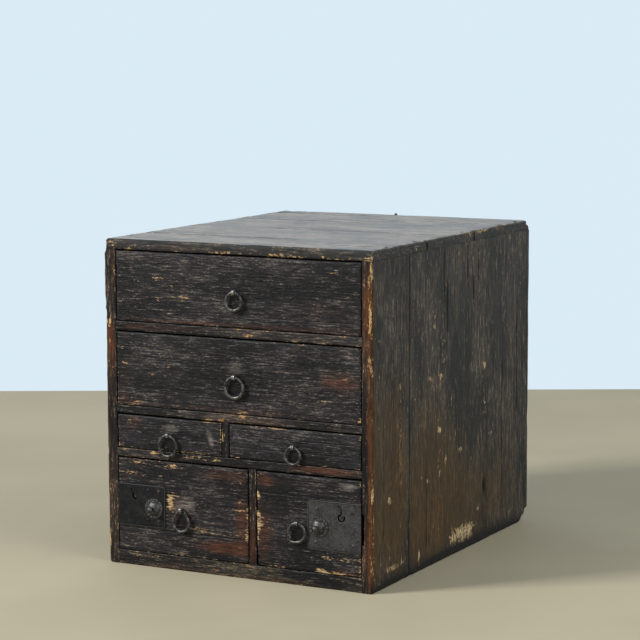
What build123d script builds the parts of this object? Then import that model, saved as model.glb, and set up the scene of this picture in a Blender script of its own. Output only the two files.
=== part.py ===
# Small tansu chest: a plank case with three shelves and two dividers, six drawers on
# iron ring pulls, and on the two lower drawers a lock whose knob throws an iron bolt.
#
# Millimetres. The origin is the middle of the footprint on the floor, +X is to the
# right as the chest is faced, +Y runs to its back and +Z is up.
from build123d import *

import math
import os
from dataclasses import dataclass

# ------------------------------------------------------------------ case, driving sizes
case_width = 380.0
case_depth = 486.0  # from the faces of the drawer fronts to the outside of the back
side_thickness = 15.0
top_thickness = 13.5
bottom_thickness = 18.5
back_thickness = 8.0
upper_shelf_thickness = 12.0
middle_shelf_thickness = 10.5
lower_shelf_thickness = 11.0
upper_divider_thickness = 9.5
lower_divider_thickness = 10.5

upper_bay_height = 91.5
middle_bay_height = 96.0
small_bay_height = 45.0
lower_bay_height = 122.0
upper_divider_x = -15.75  # middle of the divider between the two small drawers
lower_divider_x = 22.75  # middle of the divider between the two locked drawers

front_plank_width = 103.0  # each side is a narrow plank with a wide one behind it
first_top_plank = 155.0  # the top is three planks, the last takes what is left
second_top_plank = 145.0
plank_seam = 0.4  # the planks have shrunk apart by this much
back_plank_count = 3

rail_depth = 28.0  # each shelf is a rail at the front with a dust board behind it
shelf_lap = 8.0  # the dust board laps over the rail by this much
housing_depth = 4.0  # how far a shelf enters the sides
housing_setback = 14.0  # the housings stop this far behind the front
groove_depth = 3.0  # how far a divider enters a shelf
top_edge_radius = 4.5
top_corner_radius = 4.0
stile_arris_radius = 2.5
shelf_arris = 0.8

broken_corner_length = 34.0  # rotted corner low at the back of the right side
broken_corner_height = 19.0

peg_size = 3.2  # square wooden pegs hold the case together
peg_depth = 13.0  # how far a peg goes into the second board
peg_inset = 28.0  # from a plank's edge to its outermost peg

# --------------------------------------------------------------- drawers, driving sizes
front_thickness = 17.0
front_lap = 8.0  # what is left of the front outside the side boards
drawer_side_thickness = 8.0
drawer_back_thickness = 8.0
drawer_bottom_thickness = 6.0
front_arris = 0.8
side_drop = 2.0  # the side boards stop this far under the front's top edge
drawer_side_clearance = 0.8
drawer_top_clearance = 1.3
drawer_floor_clearance = 0.3
drawer_back_clearance = 0.6
drawer_travel = 380.0

# --------------------------------------------------- ring pulls and staples, driving sizes
eye_clearance = 0.6  # between a ring and the eye that it hangs in
strap_thickness = 1.3
strap_width = 3.6
eye_gap = 0.8  # between the eye and the drawer front
leg_slit = 0.2
leg_clearance = 0.1
clinch_length = 7.5  # the legs' ends are hammered flat inside the drawer
ring_sides = 8  # flats of the forged wire
ring_stations = 10  # hammered lengths down one half of a ring
foot_swell = 1.25  # the wire is this much thicker at the ring's foot
hoop_start = 225.0  # degrees, the end of the open ring that lies inside
hoop_turn = 285.0
tail_turn = 66.0
tail_opening = 1.46  # radius of the tail's bend to the hoop's

# ------------------------------------------------------------------ locks, driving sizes
plate_thickness = 1.5
plate_corner_radius = 5.0
post_rise = 12.0  # key post above the middle of the lock plate
knob_drop = 2.0  # knob below the middle of the lock plate
bolt_drop = 6.2  # bolt below the key post
bolt_height = 7.0
bolt_thickness = 4.0
bolt_end_gap = 0.3  # how far the drawn bolt stays inside the drawer's edge
bolt_tail_wall = 3.5  # iron left behind the slot in the bolt
bolt_play = 0.3
key_notch_radius = 2.4  # bite of the key in the bolt's upper edge
knob_turn = 50.0  # degrees, from open to locked
key_slot_width = 2.0
hook_start = 150.0  # degrees round the key post, where the stroke meets the hook
post_radius = 1.9
post_bore_radius = 0.8
post_clearance = 0.2
crank_thickness = 2.0
crank_gap = 0.5  # between the plate and the crank
crank_eye_radius = 3.0
crank_hub_radius = 4.2
pin_radius = 1.5
pin_play = 0.25
spindle_radius = 2.4
spindle_play = 0.1
lock_back_thickness = 1.5
lock_inset = 9.0  # the lock's case stops this far inside the drawer's edge
pocket_play = 0.5
guide_length = 5.0
guide_wall = 1.4
spring_thickness = 0.7
spring_width = 3.4
spring_gap = 0.3
stud_radius = 1.6
stud_clearance = 0.05
mortise_play = 1.0
mortise_depth = 8.0
strike_notch_width = 3.2  # worn through to the front on the right
strike_notch_height = 39.0
strike_notch_depth = 12.0
rosette_radius = 13.2
rosette_flange = 0.8
rosette_sides = 16
knob_sides = 12
dome_radius = 9.0
dome_height = 6.0
dome_wall = 1.0
bead_circle_radius = 11.2
bead_radius = 1.3
bead_height = 0.9
bead_sides = 6
bead_top_radius = 0.6
bead_count = 16
neck_radius = 2.2
neck_clearance = 0.3
neck_height = 1.6
nail_head_radius = 2.2
nail_head_height = 1.2
nail_head_sides = 8
nail_crown_radius = 1.1
nail_shank = 1.6
nail_length = 8.0

# -------------------------------------------------------------------------- worked out
inner_width = case_width - 2 * side_thickness
left_x, right_x = -inner_width / 2, inner_width / 2
front_y = -case_depth / 2
back_y = case_depth / 2 - back_thickness  # inner face of the back

lower_floor_z = bottom_thickness
lower_shelf_z = lower_floor_z + lower_bay_height
small_floor_z = lower_shelf_z + lower_shelf_thickness
middle_shelf_z = small_floor_z + small_bay_height
middle_floor_z = middle_shelf_z + middle_shelf_thickness
upper_shelf_z = middle_floor_z + middle_bay_height
upper_floor_z = upper_shelf_z + upper_shelf_thickness
top_z = upper_floor_z + upper_bay_height  # underside of the top
case_height = top_z + top_thickness


@dataclass
class Groove:
    x: float
    width: float
    over: bool  # in the shelf's upper face


@dataclass
class Shelf:
    name: str
    z: float
    thickness: float
    grooves: list


@dataclass
class Pull:
    width: float  # outside the ring
    height: float
    wire: float
    crown: float  # radius of the wire's middle line where it hangs in the eye
    shift: float = 0.0  # from the middle of the drawer, to the right
    open_ended: bool = False


@dataclass
class Lock:
    side: int  # 1 for a bolt that leaves to the right, -1 to the left
    plate_width: float
    plate_height: float
    knob_inset: float  # from the drawer's edge, as every inset here
    post_inset: float
    nails: list  # (inset, height over the plate's middle)
    hook_radius: float  # the keyhole's hook round the key post
    hook_turn: float
    stroke: list  # (across, up) from the post, the stroke's bend and its upper end
    nub_radius: float


@dataclass
class Drawer:
    name: str
    left: float
    right: float
    floor: float
    bay_height: float
    pull: Pull
    lock: Lock = None

    @property
    def x0(self):
        return self.left + drawer_side_clearance

    @property
    def x1(self):
        return self.right - drawer_side_clearance

    @property
    def x(self):
        return (self.x0 + self.x1) / 2

    @property
    def width(self):
        return self.x1 - self.x0

    @property
    def z0(self):
        return self.floor + drawer_floor_clearance

    @property
    def z1(self):
        return self.floor + self.bay_height - drawer_top_clearance

    @property
    def z(self):
        return (self.z0 + self.z1) / 2

    @property
    def y0(self):
        return front_y + front_lap

    @property
    def y1(self):
        return back_y - drawer_back_clearance

    @property
    def wall_z0(self):
        return self.z0 + drawer_bottom_thickness

    @property
    def wall_z1(self):
        return self.z1 - side_drop

    @property
    def pull_x(self):
        return self.x + self.pull.shift


upper_under = Groove(upper_divider_x, upper_divider_thickness, over=False)
upper_over = Groove(upper_divider_x, upper_divider_thickness, over=True)
lower_under = Groove(lower_divider_x, lower_divider_thickness, over=False)
shelves = [
    Shelf("upper", upper_shelf_z, upper_shelf_thickness, []),
    Shelf("middle", middle_shelf_z, middle_shelf_thickness, [upper_under]),
    Shelf("lower", lower_shelf_z, lower_shelf_thickness, [upper_over, lower_under]),
]

left_lock = Lock(
    side=-1,
    plate_width=70.0,
    plate_height=54.0,
    knob_inset=54.0,
    post_inset=26.5,
    nails=[(44.5, 21.0), (61.0, 20.5), (44.5, -17.5), (61.0, -18.0)],
    hook_radius=3.9,
    hook_turn=130.0,
    stroke=[(-4.4, 4.4), (-6.2, 7.8)],
    nub_radius=3.4,
)
right_lock = Lock(
    side=1,
    plate_width=73.5,
    plate_height=62.0,
    knob_inset=57.5,
    post_inset=26.5,
    nails=[(60.0, 21.0), (62.0, -21.0), (10.0, -21.0)],
    hook_radius=4.2,
    hook_turn=235.0,
    stroke=[(0.2, 7.6), (-4.2, 13.8)],
    nub_radius=2.8,
)

upper_half = upper_divider_thickness / 2
lower_half = lower_divider_thickness / 2
drawers = [
    Drawer(
        "top_drawer", left_x, right_x, upper_floor_z, upper_bay_height,
        Pull(width=25.5, height=25.5, wire=2.8, crown=6.0),
    ),
    Drawer(
        "second_drawer", left_x, right_x, middle_floor_z, middle_bay_height,
        Pull(width=29.5, height=29.5, wire=3.2, crown=12.0),
    ),
    Drawer(
        "small_left_drawer", left_x, upper_divider_x - upper_half, small_floor_z,
        small_bay_height, Pull(width=29.0, height=30.0, wire=2.8, crown=11.5),
    ),
    Drawer(
        "small_right_drawer", upper_divider_x + upper_half, right_x, small_floor_z,
        small_bay_height, Pull(width=24.0, height=24.5, wire=2.6, crown=9.5),
    ),
    Drawer(
        "lower_left_drawer", left_x, lower_divider_x - lower_half, lower_floor_z,
        lower_bay_height, Pull(width=26.5, height=30.5, wire=2.8, crown=6.0), left_lock,
    ),
    Drawer(
        "lower_right_drawer", lower_divider_x + lower_half, right_x, lower_floor_z,
        lower_bay_height, Pull(width=26.5, height=27.5, wire=3.2, crown=11.65, shift=-14.0, open_ended=True),
        right_lock,
    ),
]

# the lock's layers, counted back from the drawer's face
crank_y = front_y + crank_gap
bolt_front_y = crank_y + crank_thickness + bolt_play
bolt_y = bolt_front_y + bolt_thickness / 2
lock_back_y = bolt_front_y + bolt_thickness + bolt_play
pocket_depth = lock_back_y + lock_back_thickness - front_y

crank_reach = post_rise + knob_drop - bolt_drop
half_turn = math.radians(knob_turn / 2)
bolt_travel = 2 * crank_reach * math.sin(half_turn)
pin_dip = crank_reach * (1 - math.cos(half_turn))  # how far the pin sinks at either end
leg_height = 2 * strap_thickness + leg_slit

os.makedirs("parts", exist_ok=True)


def save(node, name):
    node.part.label = name
    export_step(node.part, f"parts/{name}.step")


# -------------------------------------------------------------------------------- pegs
def side_peg_planes():
    """Pegs through the side planks into the ends of the shelves and the bottom."""
    levels = [shelf.z + shelf.thickness / 2 for shelf in shelves] + [bottom_thickness / 2]
    rows = [
        front_y + (housing_setback + rail_depth - shelf_lap) / 2,
        front_y + front_plank_width + peg_inset,
        back_y - peg_inset,
    ]
    return [
        Plane(origin=(side * case_width / 2, y, z), x_dir=(0, 1, 0), z_dir=(-side, 0, 0))
        for side in (-1, 1)
        for z in levels
        for y in rows
    ]


def top_peg_planes():
    """Pegs through the top into the side planks."""
    rows = [
        front_y + front_plank_width / 2,
        front_y + front_plank_width + peg_inset,
        front_y + first_top_plank + second_top_plank - peg_inset,
        back_y - peg_inset,
    ]
    return [
        Plane(origin=(side * (case_width - side_thickness) / 2, y, case_height), z_dir=(0, 0, -1))
        for side in (-1, 1)
        for y in rows
    ]


def back_peg_planes():
    """Pegs through the back planks into the rear edges of the side planks."""
    plank = top_z / back_plank_count
    levels = [n * plank + z for n in range(back_plank_count) for z in (peg_inset, plank - peg_inset)]
    return [
        Plane(origin=(side * (case_width - side_thickness) / 2, case_depth / 2, z), z_dir=(0, -1, 0))
        for side in (-1, 1)
        for z in levels
    ]


side_pegs = (side_peg_planes(), side_thickness + peg_depth)
top_pegs = (top_peg_planes(), top_thickness + peg_depth)
back_pegs = (back_peg_planes(), back_thickness + peg_depth)


def drive(pegs, mode=Mode.SUBTRACT):
    """Cuts the pegs' holes in the piece that is being built, or adds the pegs."""
    planes, length = pegs
    for plane in planes:
        with BuildSketch(plane) as section:
            Rectangle(peg_size, peg_size)
        extrude(section.sketch, amount=length, mode=mode)


# -------------------------------------------------------------------------------- case
def build_side_plank(side, name, y0, y1, at_front):
    """One vertical plank of a side, with stopped housings for the shelves' ends."""
    inner = side * inner_width / 2
    outer = side * case_width / 2
    with BuildPart() as plank:
        with BuildSketch():
            with Locations(((inner + outer) / 2, (y0 + y1) / 2)):
                Rectangle(side_thickness, y1 - y0)
        extrude(amount=top_z)
        if at_front:
            front_edges = plank.edges().filter_by(Axis.Z).group_by(Axis.Y)[0]
            fillet(front_edges.sort_by(Axis.X)[0 if side < 0 else -1], stile_arris_radius)
        start = y0 + housing_setback if at_front else y0
        with BuildSketch(Plane.XZ.offset(-start)):
            for shelf in shelves:
                with Locations((inner, shelf.z + shelf.thickness / 2)):
                    Rectangle(2 * housing_depth, shelf.thickness)
        extrude(amount=-(y1 - start), mode=Mode.SUBTRACT)
        drive(side_pegs)
        drive(top_pegs)
        drive(back_pegs)
        if at_front:
            cut_bolt_mortise(side)
        elif side > 0:
            cut_broken_corner()
    save(plank, name)


def cut_bolt_mortise(side):
    """The mortise that a bolt is thrown into; on the right its mouth has worn open."""
    drawer = next(d for d in drawers if d.lock and d.lock.side == side)
    mouth = Plane.YZ.offset(side * inner_width / 2)
    with BuildSketch(mouth) as mortise:
        with Locations((bolt_y, bolt_z(drawer))):
            Rectangle(bolt_thickness + 2 * mortise_play, bolt_height + 2 * mortise_play)
    extrude(mortise.sketch, amount=side * mortise_depth, mode=Mode.SUBTRACT)
    if side > 0:
        with BuildSketch(mouth) as notch:
            with Locations((front_y, drawer.z)):
                Rectangle(2 * strike_notch_depth, strike_notch_height)
        extrude(notch.sketch, amount=side * strike_notch_width, mode=Mode.SUBTRACT)


def cut_broken_corner():
    """The bite that rot has taken out of the corner low at the back."""
    length, height = broken_corner_length, broken_corner_height
    corner = case_depth / 2
    with BuildSketch(Plane.YZ.offset(inner_width / 2 - side_thickness)) as bite:
        with BuildLine():
            Polyline(
                (corner, 0),
                (corner - length, 0),
                (corner - 0.75 * length, 0.18 * height),
                (corner - 0.58 * length, 0.42 * height),
                (corner - 0.38 * length, 0.5 * height),
                (corner - 0.3 * length, 0.84 * height),
                (corner, height),
                close=True,
            )
        make_face()
    extrude(bite.sketch, amount=2 * side_thickness, mode=Mode.SUBTRACT)


def build_top():
    """Three planks edge to edge, over the sides and the back."""
    with BuildPart() as top:
        with BuildSketch(Plane.XY.offset(top_z)):
            RectangleRounded(case_width, case_depth, top_corner_radius)
        extrude(amount=top_thickness)
        fillet(top.faces().sort_by(Axis.Z)[-1].edges(), top_edge_radius)
        with BuildSketch(Plane.XY.offset(top_z)):
            for seam in (first_top_plank, first_top_plank + second_top_plank):
                with Locations((0, front_y + seam)):
                    Rectangle(case_width, plank_seam)
        extrude(amount=top_thickness, mode=Mode.SUBTRACT)
        drive(top_pegs)
    save(top, "top_planks")


def build_bottom():
    with BuildPart() as bottom:
        with BuildSketch():
            with Locations((0, (front_y + back_y) / 2)):
                Rectangle(inner_width, back_y - front_y)
        extrude(amount=bottom_thickness)
        chamfer(bottom.faces().sort_by(Axis.Y)[0].edges().filter_by(Axis.X), shelf_arris)
        cut_groove(Groove(lower_divider_x, lower_divider_thickness, over=True), 0, bottom_thickness)
        drive(side_pegs)
    save(bottom, "bottom_board")


def build_back():
    """Horizontal planks over the rear edges of the sides."""
    plank = top_z / back_plank_count
    with BuildPart() as back:
        with BuildSketch(Plane.XZ.offset(-back_y)):
            for n in range(back_plank_count):
                with Locations((0, (n + 0.5) * plank)):
                    Rectangle(case_width, plank - plank_seam)
        extrude(amount=-back_thickness)
        drive(back_pegs)
        cut_broken_corner()
    save(back, "back_planks")


def cut_groove(groove, z, thickness):
    """A stopped groove for a divider in one face of the board that is being built."""
    start = front_y + housing_setback
    level = z + thickness if groove.over else z
    with BuildSketch(Plane.XY.offset(level)) as channel:
        with Locations((groove.x, (start + back_y) / 2)):
            Rectangle(groove.width, back_y - start)
    inward = -groove_depth if groove.over else groove_depth
    extrude(channel.sketch, amount=inward, mode=Mode.SUBTRACT)


def build_rail(shelf):
    """The front of a shelf: square shoulders between the sides, a tenon behind them."""
    seam_y = front_y + rail_depth
    with BuildPart() as rail:
        with BuildSketch(Plane.XY.offset(shelf.z)):
            with Locations((0, (front_y + seam_y) / 2)):
                Rectangle(inner_width, rail_depth)
            with Locations((0, (front_y + housing_setback + seam_y) / 2)):
                Rectangle(inner_width + 2 * housing_depth, rail_depth - housing_setback)
        extrude(amount=shelf.thickness)
        chamfer(rail.faces().sort_by(Axis.Y)[0].edges().filter_by(Axis.X), shelf_arris)
        with BuildSketch(Plane.XY.offset(shelf.z + shelf.thickness / 2)):
            with Locations((0, seam_y)):
                Rectangle(case_width, 2 * shelf_lap)
        extrude(amount=shelf.thickness, mode=Mode.SUBTRACT)
        for groove in shelf.grooves:
            cut_groove(groove, shelf.z, shelf.thickness)
        drive(side_pegs)
    save(rail, f"{shelf.name}_rail")


def build_dust_board(shelf):
    """The rest of a shelf, lapped over the rail and housed in the sides."""
    seam_y = front_y + rail_depth
    with BuildPart() as board:
        with BuildSketch(Plane.XY.offset(shelf.z)):
            with Locations((0, (seam_y + back_y) / 2)):
                Rectangle(inner_width + 2 * housing_depth, back_y - seam_y)
        extrude(amount=shelf.thickness)
        with BuildSketch(Plane.XY.offset(shelf.z + shelf.thickness / 2)):
            with Locations((0, seam_y)):
                Rectangle(inner_width + 2 * housing_depth, 2 * shelf_lap)
        extrude(amount=shelf.thickness / 2)
        for groove in shelf.grooves:
            cut_groove(groove, shelf.z, shelf.thickness)
        drive(side_pegs)
    save(board, f"{shelf.name}_dust_board")


def build_divider(name, x, thickness, z0, z1):
    """An upright between two drawers, with tongues in the boards above and below."""
    start = front_y + housing_setback
    with BuildPart() as divider:
        with BuildSketch(Plane.YZ.offset(x - thickness / 2)):
            with Locations(((front_y + back_y) / 2, (z0 + z1) / 2)):
                Rectangle(back_y - front_y, z1 - z0)
            with Locations(((start + back_y) / 2, (z0 + z1) / 2)):
                Rectangle(back_y - start, z1 - z0 + 2 * groove_depth)
        extrude(amount=thickness)
        chamfer(divider.faces().sort_by(Axis.Y)[0].edges().filter_by(Axis.Z), shelf_arris)
    save(divider, name)


def build_pegs():
    with BuildPart() as pegs:
        for set_of_pegs in (side_pegs, top_pegs, back_pegs):
            drive(set_of_pegs, Mode.ADD)
    save(pegs, "case_pegs")


# ----------------------------------------------------------------------------- drawers
def build_drawer_front(drawer):
    """A front with rabbets for the sides and the bottom, and its hardware's holes."""
    face = Plane.XZ.offset(-front_y)
    with BuildPart() as front:
        with BuildSketch(face):
            with Locations((drawer.x, drawer.z)):
                Rectangle(drawer.width, drawer.z1 - drawer.z0)
        extrude(amount=-front_thickness)
        chamfer(front.faces().sort_by(Axis.Y)[0].edges(), front_arris)
        with BuildSketch(Plane.XZ.offset(-drawer.y0)):
            with Locations((drawer.x, drawer.z)):
                Rectangle(drawer.width, drawer.z1 - drawer.z0)
            with Locations((drawer.x, (drawer.wall_z0 + drawer.z1) / 2)):
                between = drawer.width - 2 * drawer_side_thickness
                Rectangle(between, drawer.z1 - drawer.wall_z0, mode=Mode.SUBTRACT)
        extrude(amount=front_lap - front_thickness, mode=Mode.SUBTRACT)
        with BuildSketch(face):
            with Locations((drawer.pull_x, drawer.z)):
                Rectangle(strap_width + 2 * leg_clearance, leg_height + 2 * leg_clearance)
        extrude(amount=-front_thickness, mode=Mode.SUBTRACT)
        if drawer.lock:
            cut_lock_seat(drawer)
    save(front, f"{drawer.name}_front")


def build_drawer_walls(drawer):
    """Two sides and the back between them, on the bottom."""
    half = drawer_side_thickness / 2
    with BuildPart() as walls:
        with BuildSketch(Plane.XY.offset(drawer.wall_z0)):
            for x in (drawer.x0 + half, drawer.x1 - half):
                with Locations((x, (drawer.y0 + drawer.y1) / 2)):
                    Rectangle(drawer_side_thickness, drawer.y1 - drawer.y0)
        extrude(amount=drawer.wall_z1 - drawer.wall_z0)
    with BuildPart() as back:
        with BuildSketch(Plane.XY.offset(drawer.wall_z0)):
            with Locations((drawer.x, drawer.y1 - drawer_back_thickness / 2)):
                Rectangle(drawer.width - 2 * drawer_side_thickness, drawer_back_thickness)
        extrude(amount=drawer.wall_z1 - drawer.wall_z0)
    walls.part = Compound(children=[*walls.solids(), *back.solids()])
    save(walls, f"{drawer.name}_walls")


def build_drawer_bottom(drawer):
    with BuildPart() as bottom:
        with BuildSketch(Plane.XY.offset(drawer.z0)):
            with Locations((drawer.x, (drawer.y0 + drawer.y1) / 2)):
                Rectangle(drawer.width, drawer.y1 - drawer.y0)
        extrude(amount=drawer_bottom_thickness)
    save(bottom, f"{drawer.name}_bottom")


# -------------------------------------------------------------------------- ring pulls
def eye_radius(pull):
    """Inside of the eye that the ring's wire hangs in."""
    return pull.wire / 2 + eye_clearance


def eye_y(pull):
    return front_y - eye_gap - eye_radius(pull) - strap_thickness


def build_staple(drawer):
    """A strap bent round the ring, its legs through the front and clinched behind."""
    inner = eye_radius(drawer.pull)
    outer = inner + strap_thickness
    leg_end = eye_gap + outer + front_thickness + strap_thickness
    across = Plane(
        origin=(drawer.pull_x - strap_width / 2, eye_y(drawer.pull), drawer.z),
        x_dir=(0, 1, 0),
        z_dir=(1, 0, 0),
    )
    with BuildPart() as staple:
        with BuildSketch(across):
            Circle(outer)
            with Locations(((inner + leg_end) / 2, 0)):
                Rectangle(leg_end - inner, leg_height)
            with Locations((leg_end - strap_thickness / 2, 0)):
                Rectangle(strap_thickness, leg_height + 2 * clinch_length)
            with Locations((leg_end / 2, 0)):
                Rectangle(leg_end, leg_slit, mode=Mode.SUBTRACT)
            Circle(inner, mode=Mode.SUBTRACT)
        extrude(amount=strap_width)
    save(staple, f"{drawer.name}_staple")


def outward_from(point):
    """A plane that faces out of the chest's front, through a point."""
    return Plane(origin=point, x_dir=(1, 0, 0), z_dir=(0, -1, 0))


def hanging_plane(drawer):
    return outward_from((drawer.pull_x, eye_y(drawer.pull), drawer.z))


def turn(plane, sides, *steps, mode=Mode.ADD):
    """A turned piece in flats; each step is a distance out from the plane and the radius there."""
    rings = []
    for out, radius in steps:
        turned = [2 * math.pi * n / sides for n in range(sides)]
        rings.append([plane.from_local_coords((radius * math.cos(a), radius * math.sin(a), out)) for a in turned])
    flats = [Face(Wire.make_polygon(rings[0])), Face(Wire.make_polygon(rings[-1]))]
    for low, high in zip(rings, rings[1:]):
        for n in range(sides):
            flats.append(Face(Wire.make_polygon([low[n - 1], low[n], high[n], high[n - 1]])))
    add(Solid(Shell(flats)), mode=mode)


def forge(path, stations, start_radius, end_radius):
    """A faceted bar along a line, from one thickness to another."""
    sections = []
    for n in range(stations + 1):
        along = n / stations
        radius = start_radius + (end_radius - start_radius) * along
        with BuildSketch(Plane(origin=path @ along, x_dir=(0, 1, 0), z_dir=path % along)) as section:
            RegularPolygon(radius, ring_sides)
        sections.append(section.sketch)
    loft(sections, ruled=True)


def build_closed_ring(drawer):
    """A forged ring, pear shaped where its crown is narrow, and thicker at the foot."""
    pull = drawer.pull
    top_radius = pull.wire / 2
    foot_radius = foot_swell * top_radius
    belly = pull.width / 2 - foot_radius
    foot = top_radius + foot_radius - pull.height
    turn = math.degrees(math.asin((belly - pull.crown) / -(foot + belly + pull.crown)))
    with BuildPart() as ring:
        with BuildLine(hanging_plane(drawer)) as half:
            crown = CenterArc((0, -pull.crown), pull.crown, 90, turn - 90)
            shoulder = CenterArc((0, foot + belly), belly, turn, -turn - 90)
            Line(crown @ 1, shoulder @ 0)
        forge(half.wires()[0], ring_stations, top_radius, foot_radius)
        mirror(about=Plane.YZ.offset(drawer.pull_x))
    save(ring, f"{drawer.name}_ring")


def build_open_ring(drawer):
    """A ring bent from a bar, one end lapped under the other and left as a tail."""
    pull = drawer.pull
    hoop_radius = (pull.width - pull.wire) / 2
    with BuildPart() as ring:
        with BuildLine(hanging_plane(drawer)) as path:
            hoop = CenterArc((0, -hoop_radius), hoop_radius, hoop_start, -hoop_turn)
            JernArc(hoop @ 1, hoop % 1, tail_opening * hoop_radius, -tail_turn)
        forge(path.wires()[0], 2 * ring_stations, pull.wire / 2, pull.wire / 2)
    save(ring, f"{drawer.name}_ring")


# ------------------------------------------------------------------------------- locks
def inset_x(drawer, inset):
    """A place across the chest, from the drawer's edge that the bolt leaves by."""
    edge = drawer.x1 if drawer.lock.side > 0 else drawer.x0
    return edge - drawer.lock.side * inset


def post_z(drawer):
    return drawer.z + post_rise


def knob_z(drawer):
    return drawer.z - knob_drop


def bolt_z(drawer):
    return post_z(drawer) - bolt_drop


def bolt_slot_inset(lock):
    """The pin stands this far in when the bolt is drawn."""
    return lock.knob_inset + bolt_travel / 2


def bolt_tail_inset(lock):
    return bolt_slot_inset(lock) + pin_radius + pin_play + bolt_tail_wall


def lock_span(drawer):
    """The lock's case, as its near and far inset and its low and high z."""
    far = bolt_tail_inset(drawer.lock) + pocket_play
    low = knob_z(drawer) - crank_hub_radius - pocket_play
    high = max(post_z(drawer) + post_radius, bolt_z(drawer) + bolt_height / 2 + bolt_play) + guide_wall
    return lock_inset, far, low, high


def inset_box(drawer, near, far, low, high):
    """A rectangle between two insets and two heights, in a sketch on the front's plane."""
    x0, x1 = inset_x(drawer, near), inset_x(drawer, far)
    with Locations(((x0 + x1) / 2, (low + high) / 2)):
        Rectangle(abs(x1 - x0), high - low)


def cut_lock_seat(drawer):
    """The pocket for the lock, and the slot that the bolt leaves the edge by."""
    near, far, low, high = lock_span(drawer)
    with BuildSketch(Plane.XZ.offset(-front_y)) as pocket:
        inset_box(drawer, near, far, low, high)
    extrude(pocket.sketch, amount=-pocket_depth, mode=Mode.SUBTRACT)
    with BuildSketch(Plane.YZ.offset(inset_x(drawer, 0))) as way_out:
        with Locations((bolt_y, bolt_z(drawer))):
            Rectangle(bolt_thickness + 2 * bolt_play, bolt_height + 2 * bolt_play)
    extrude(way_out.sketch, amount=-drawer.lock.side * near, mode=Mode.SUBTRACT)
    nail_shanks(drawer, Mode.SUBTRACT)


def nail_shanks(drawer, mode):
    """The square shanks of the lock plate's nails, or their holes."""
    lock = drawer.lock
    with BuildSketch(Plane.XZ.offset(plate_thickness - front_y)) as shanks:
        for inset, rise in lock.nails:
            with Locations((inset_x(drawer, inset), drawer.z + rise)):
                Rectangle(nail_shank, nail_shank)
    extrude(shanks.sketch, amount=-nail_length, mode=mode)


def build_plate(drawer):
    """The iron plate on the front, its two inner corners rounded.

    The keyhole is a stroke that comes down into a hook round the key post.
    """
    lock = drawer.lock
    hook = CenterArc((0, 0), lock.hook_radius, hook_start, lock.hook_turn)
    stroke = ThreePointArc(hook @ 0, *lock.stroke)
    with BuildPart() as plate:
        with BuildSketch(Plane.XZ.offset(-front_y)) as outline:
            with Locations((inset_x(drawer, lock.plate_width / 2), drawer.z)):
                Rectangle(lock.plate_width, lock.plate_height)
            inner_corners = outline.vertices().group_by(Axis.X)[0 if lock.side > 0 else -1]
            fillet(inner_corners, plate_corner_radius)
            with Locations((inset_x(drawer, lock.knob_inset), knob_z(drawer))):
                Circle(spindle_radius + spindle_play, mode=Mode.SUBTRACT)
            with Locations((inset_x(drawer, lock.post_inset), post_z(drawer))):
                SlotArc(hook, key_slot_width, mode=Mode.SUBTRACT)
                SlotArc(stroke, key_slot_width, mode=Mode.SUBTRACT)
                Circle(post_radius + post_clearance, mode=Mode.SUBTRACT)
        extrude(amount=plate_thickness)
        nail_shanks(drawer, Mode.SUBTRACT)
    save(plate, f"{drawer.name}_lock_plate")


def build_plate_nails(drawer):
    """Nails with hammered heads and square shanks in the wood."""
    with BuildPart() as nails:
        nail_shanks(drawer, Mode.ADD)
        for inset, rise in drawer.lock.nails:
            head = (inset_x(drawer, inset), front_y - plate_thickness, drawer.z + rise)
            turn(outward_from(head), nail_head_sides, (0, nail_head_radius), (nail_head_height, nail_crown_radius))
    save(nails, f"{drawer.name}_lock_nails")


def knob_plane(drawer):
    """On the plate's face, at the knob's axis."""
    return outward_from((inset_x(drawer, drawer.lock.knob_inset), front_y - plate_thickness, knob_z(drawer)))


def build_rosette(drawer):
    """A thin domed rosette with a ring of beads, fixed on the plate round the knob."""
    plate_face = knob_plane(drawer)
    low_out = 0.45 * dome_height
    high_out = 0.84 * dome_height
    low_radius = 0.9 * dome_radius
    high_radius = 0.62 * dome_radius
    with BuildPart() as bead:
        turn(Plane.XY, bead_sides, (0, bead_radius), (bead_height, bead_top_radius))
    with BuildPart() as rosette:
        turn(plate_face, rosette_sides, (0, rosette_radius), (rosette_flange, rosette_radius))
        dome = [(rosette_flange, dome_radius), (low_out, low_radius), (high_out, high_radius)]
        turn(plate_face, rosette_sides, *dome, (dome_height, high_radius / 2))
        with Locations(plate_face.offset(rosette_flange)):
            with PolarLocations(bead_circle_radius, bead_count):
                add(bead.part)
        hollow = [(-rosette_flange, dome_radius - dome_wall), (high_out - dome_wall, high_radius - dome_wall)]
        turn(plate_face, rosette_sides, *hollow, mode=Mode.SUBTRACT)
        with BuildSketch(plate_face):
            RegularPolygon(neck_radius + neck_clearance, rosette_sides, major_radius=False)
        extrude(amount=dome_height, mode=Mode.SUBTRACT)
    save(rosette, f"{drawer.name}_lock_rosette")


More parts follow.
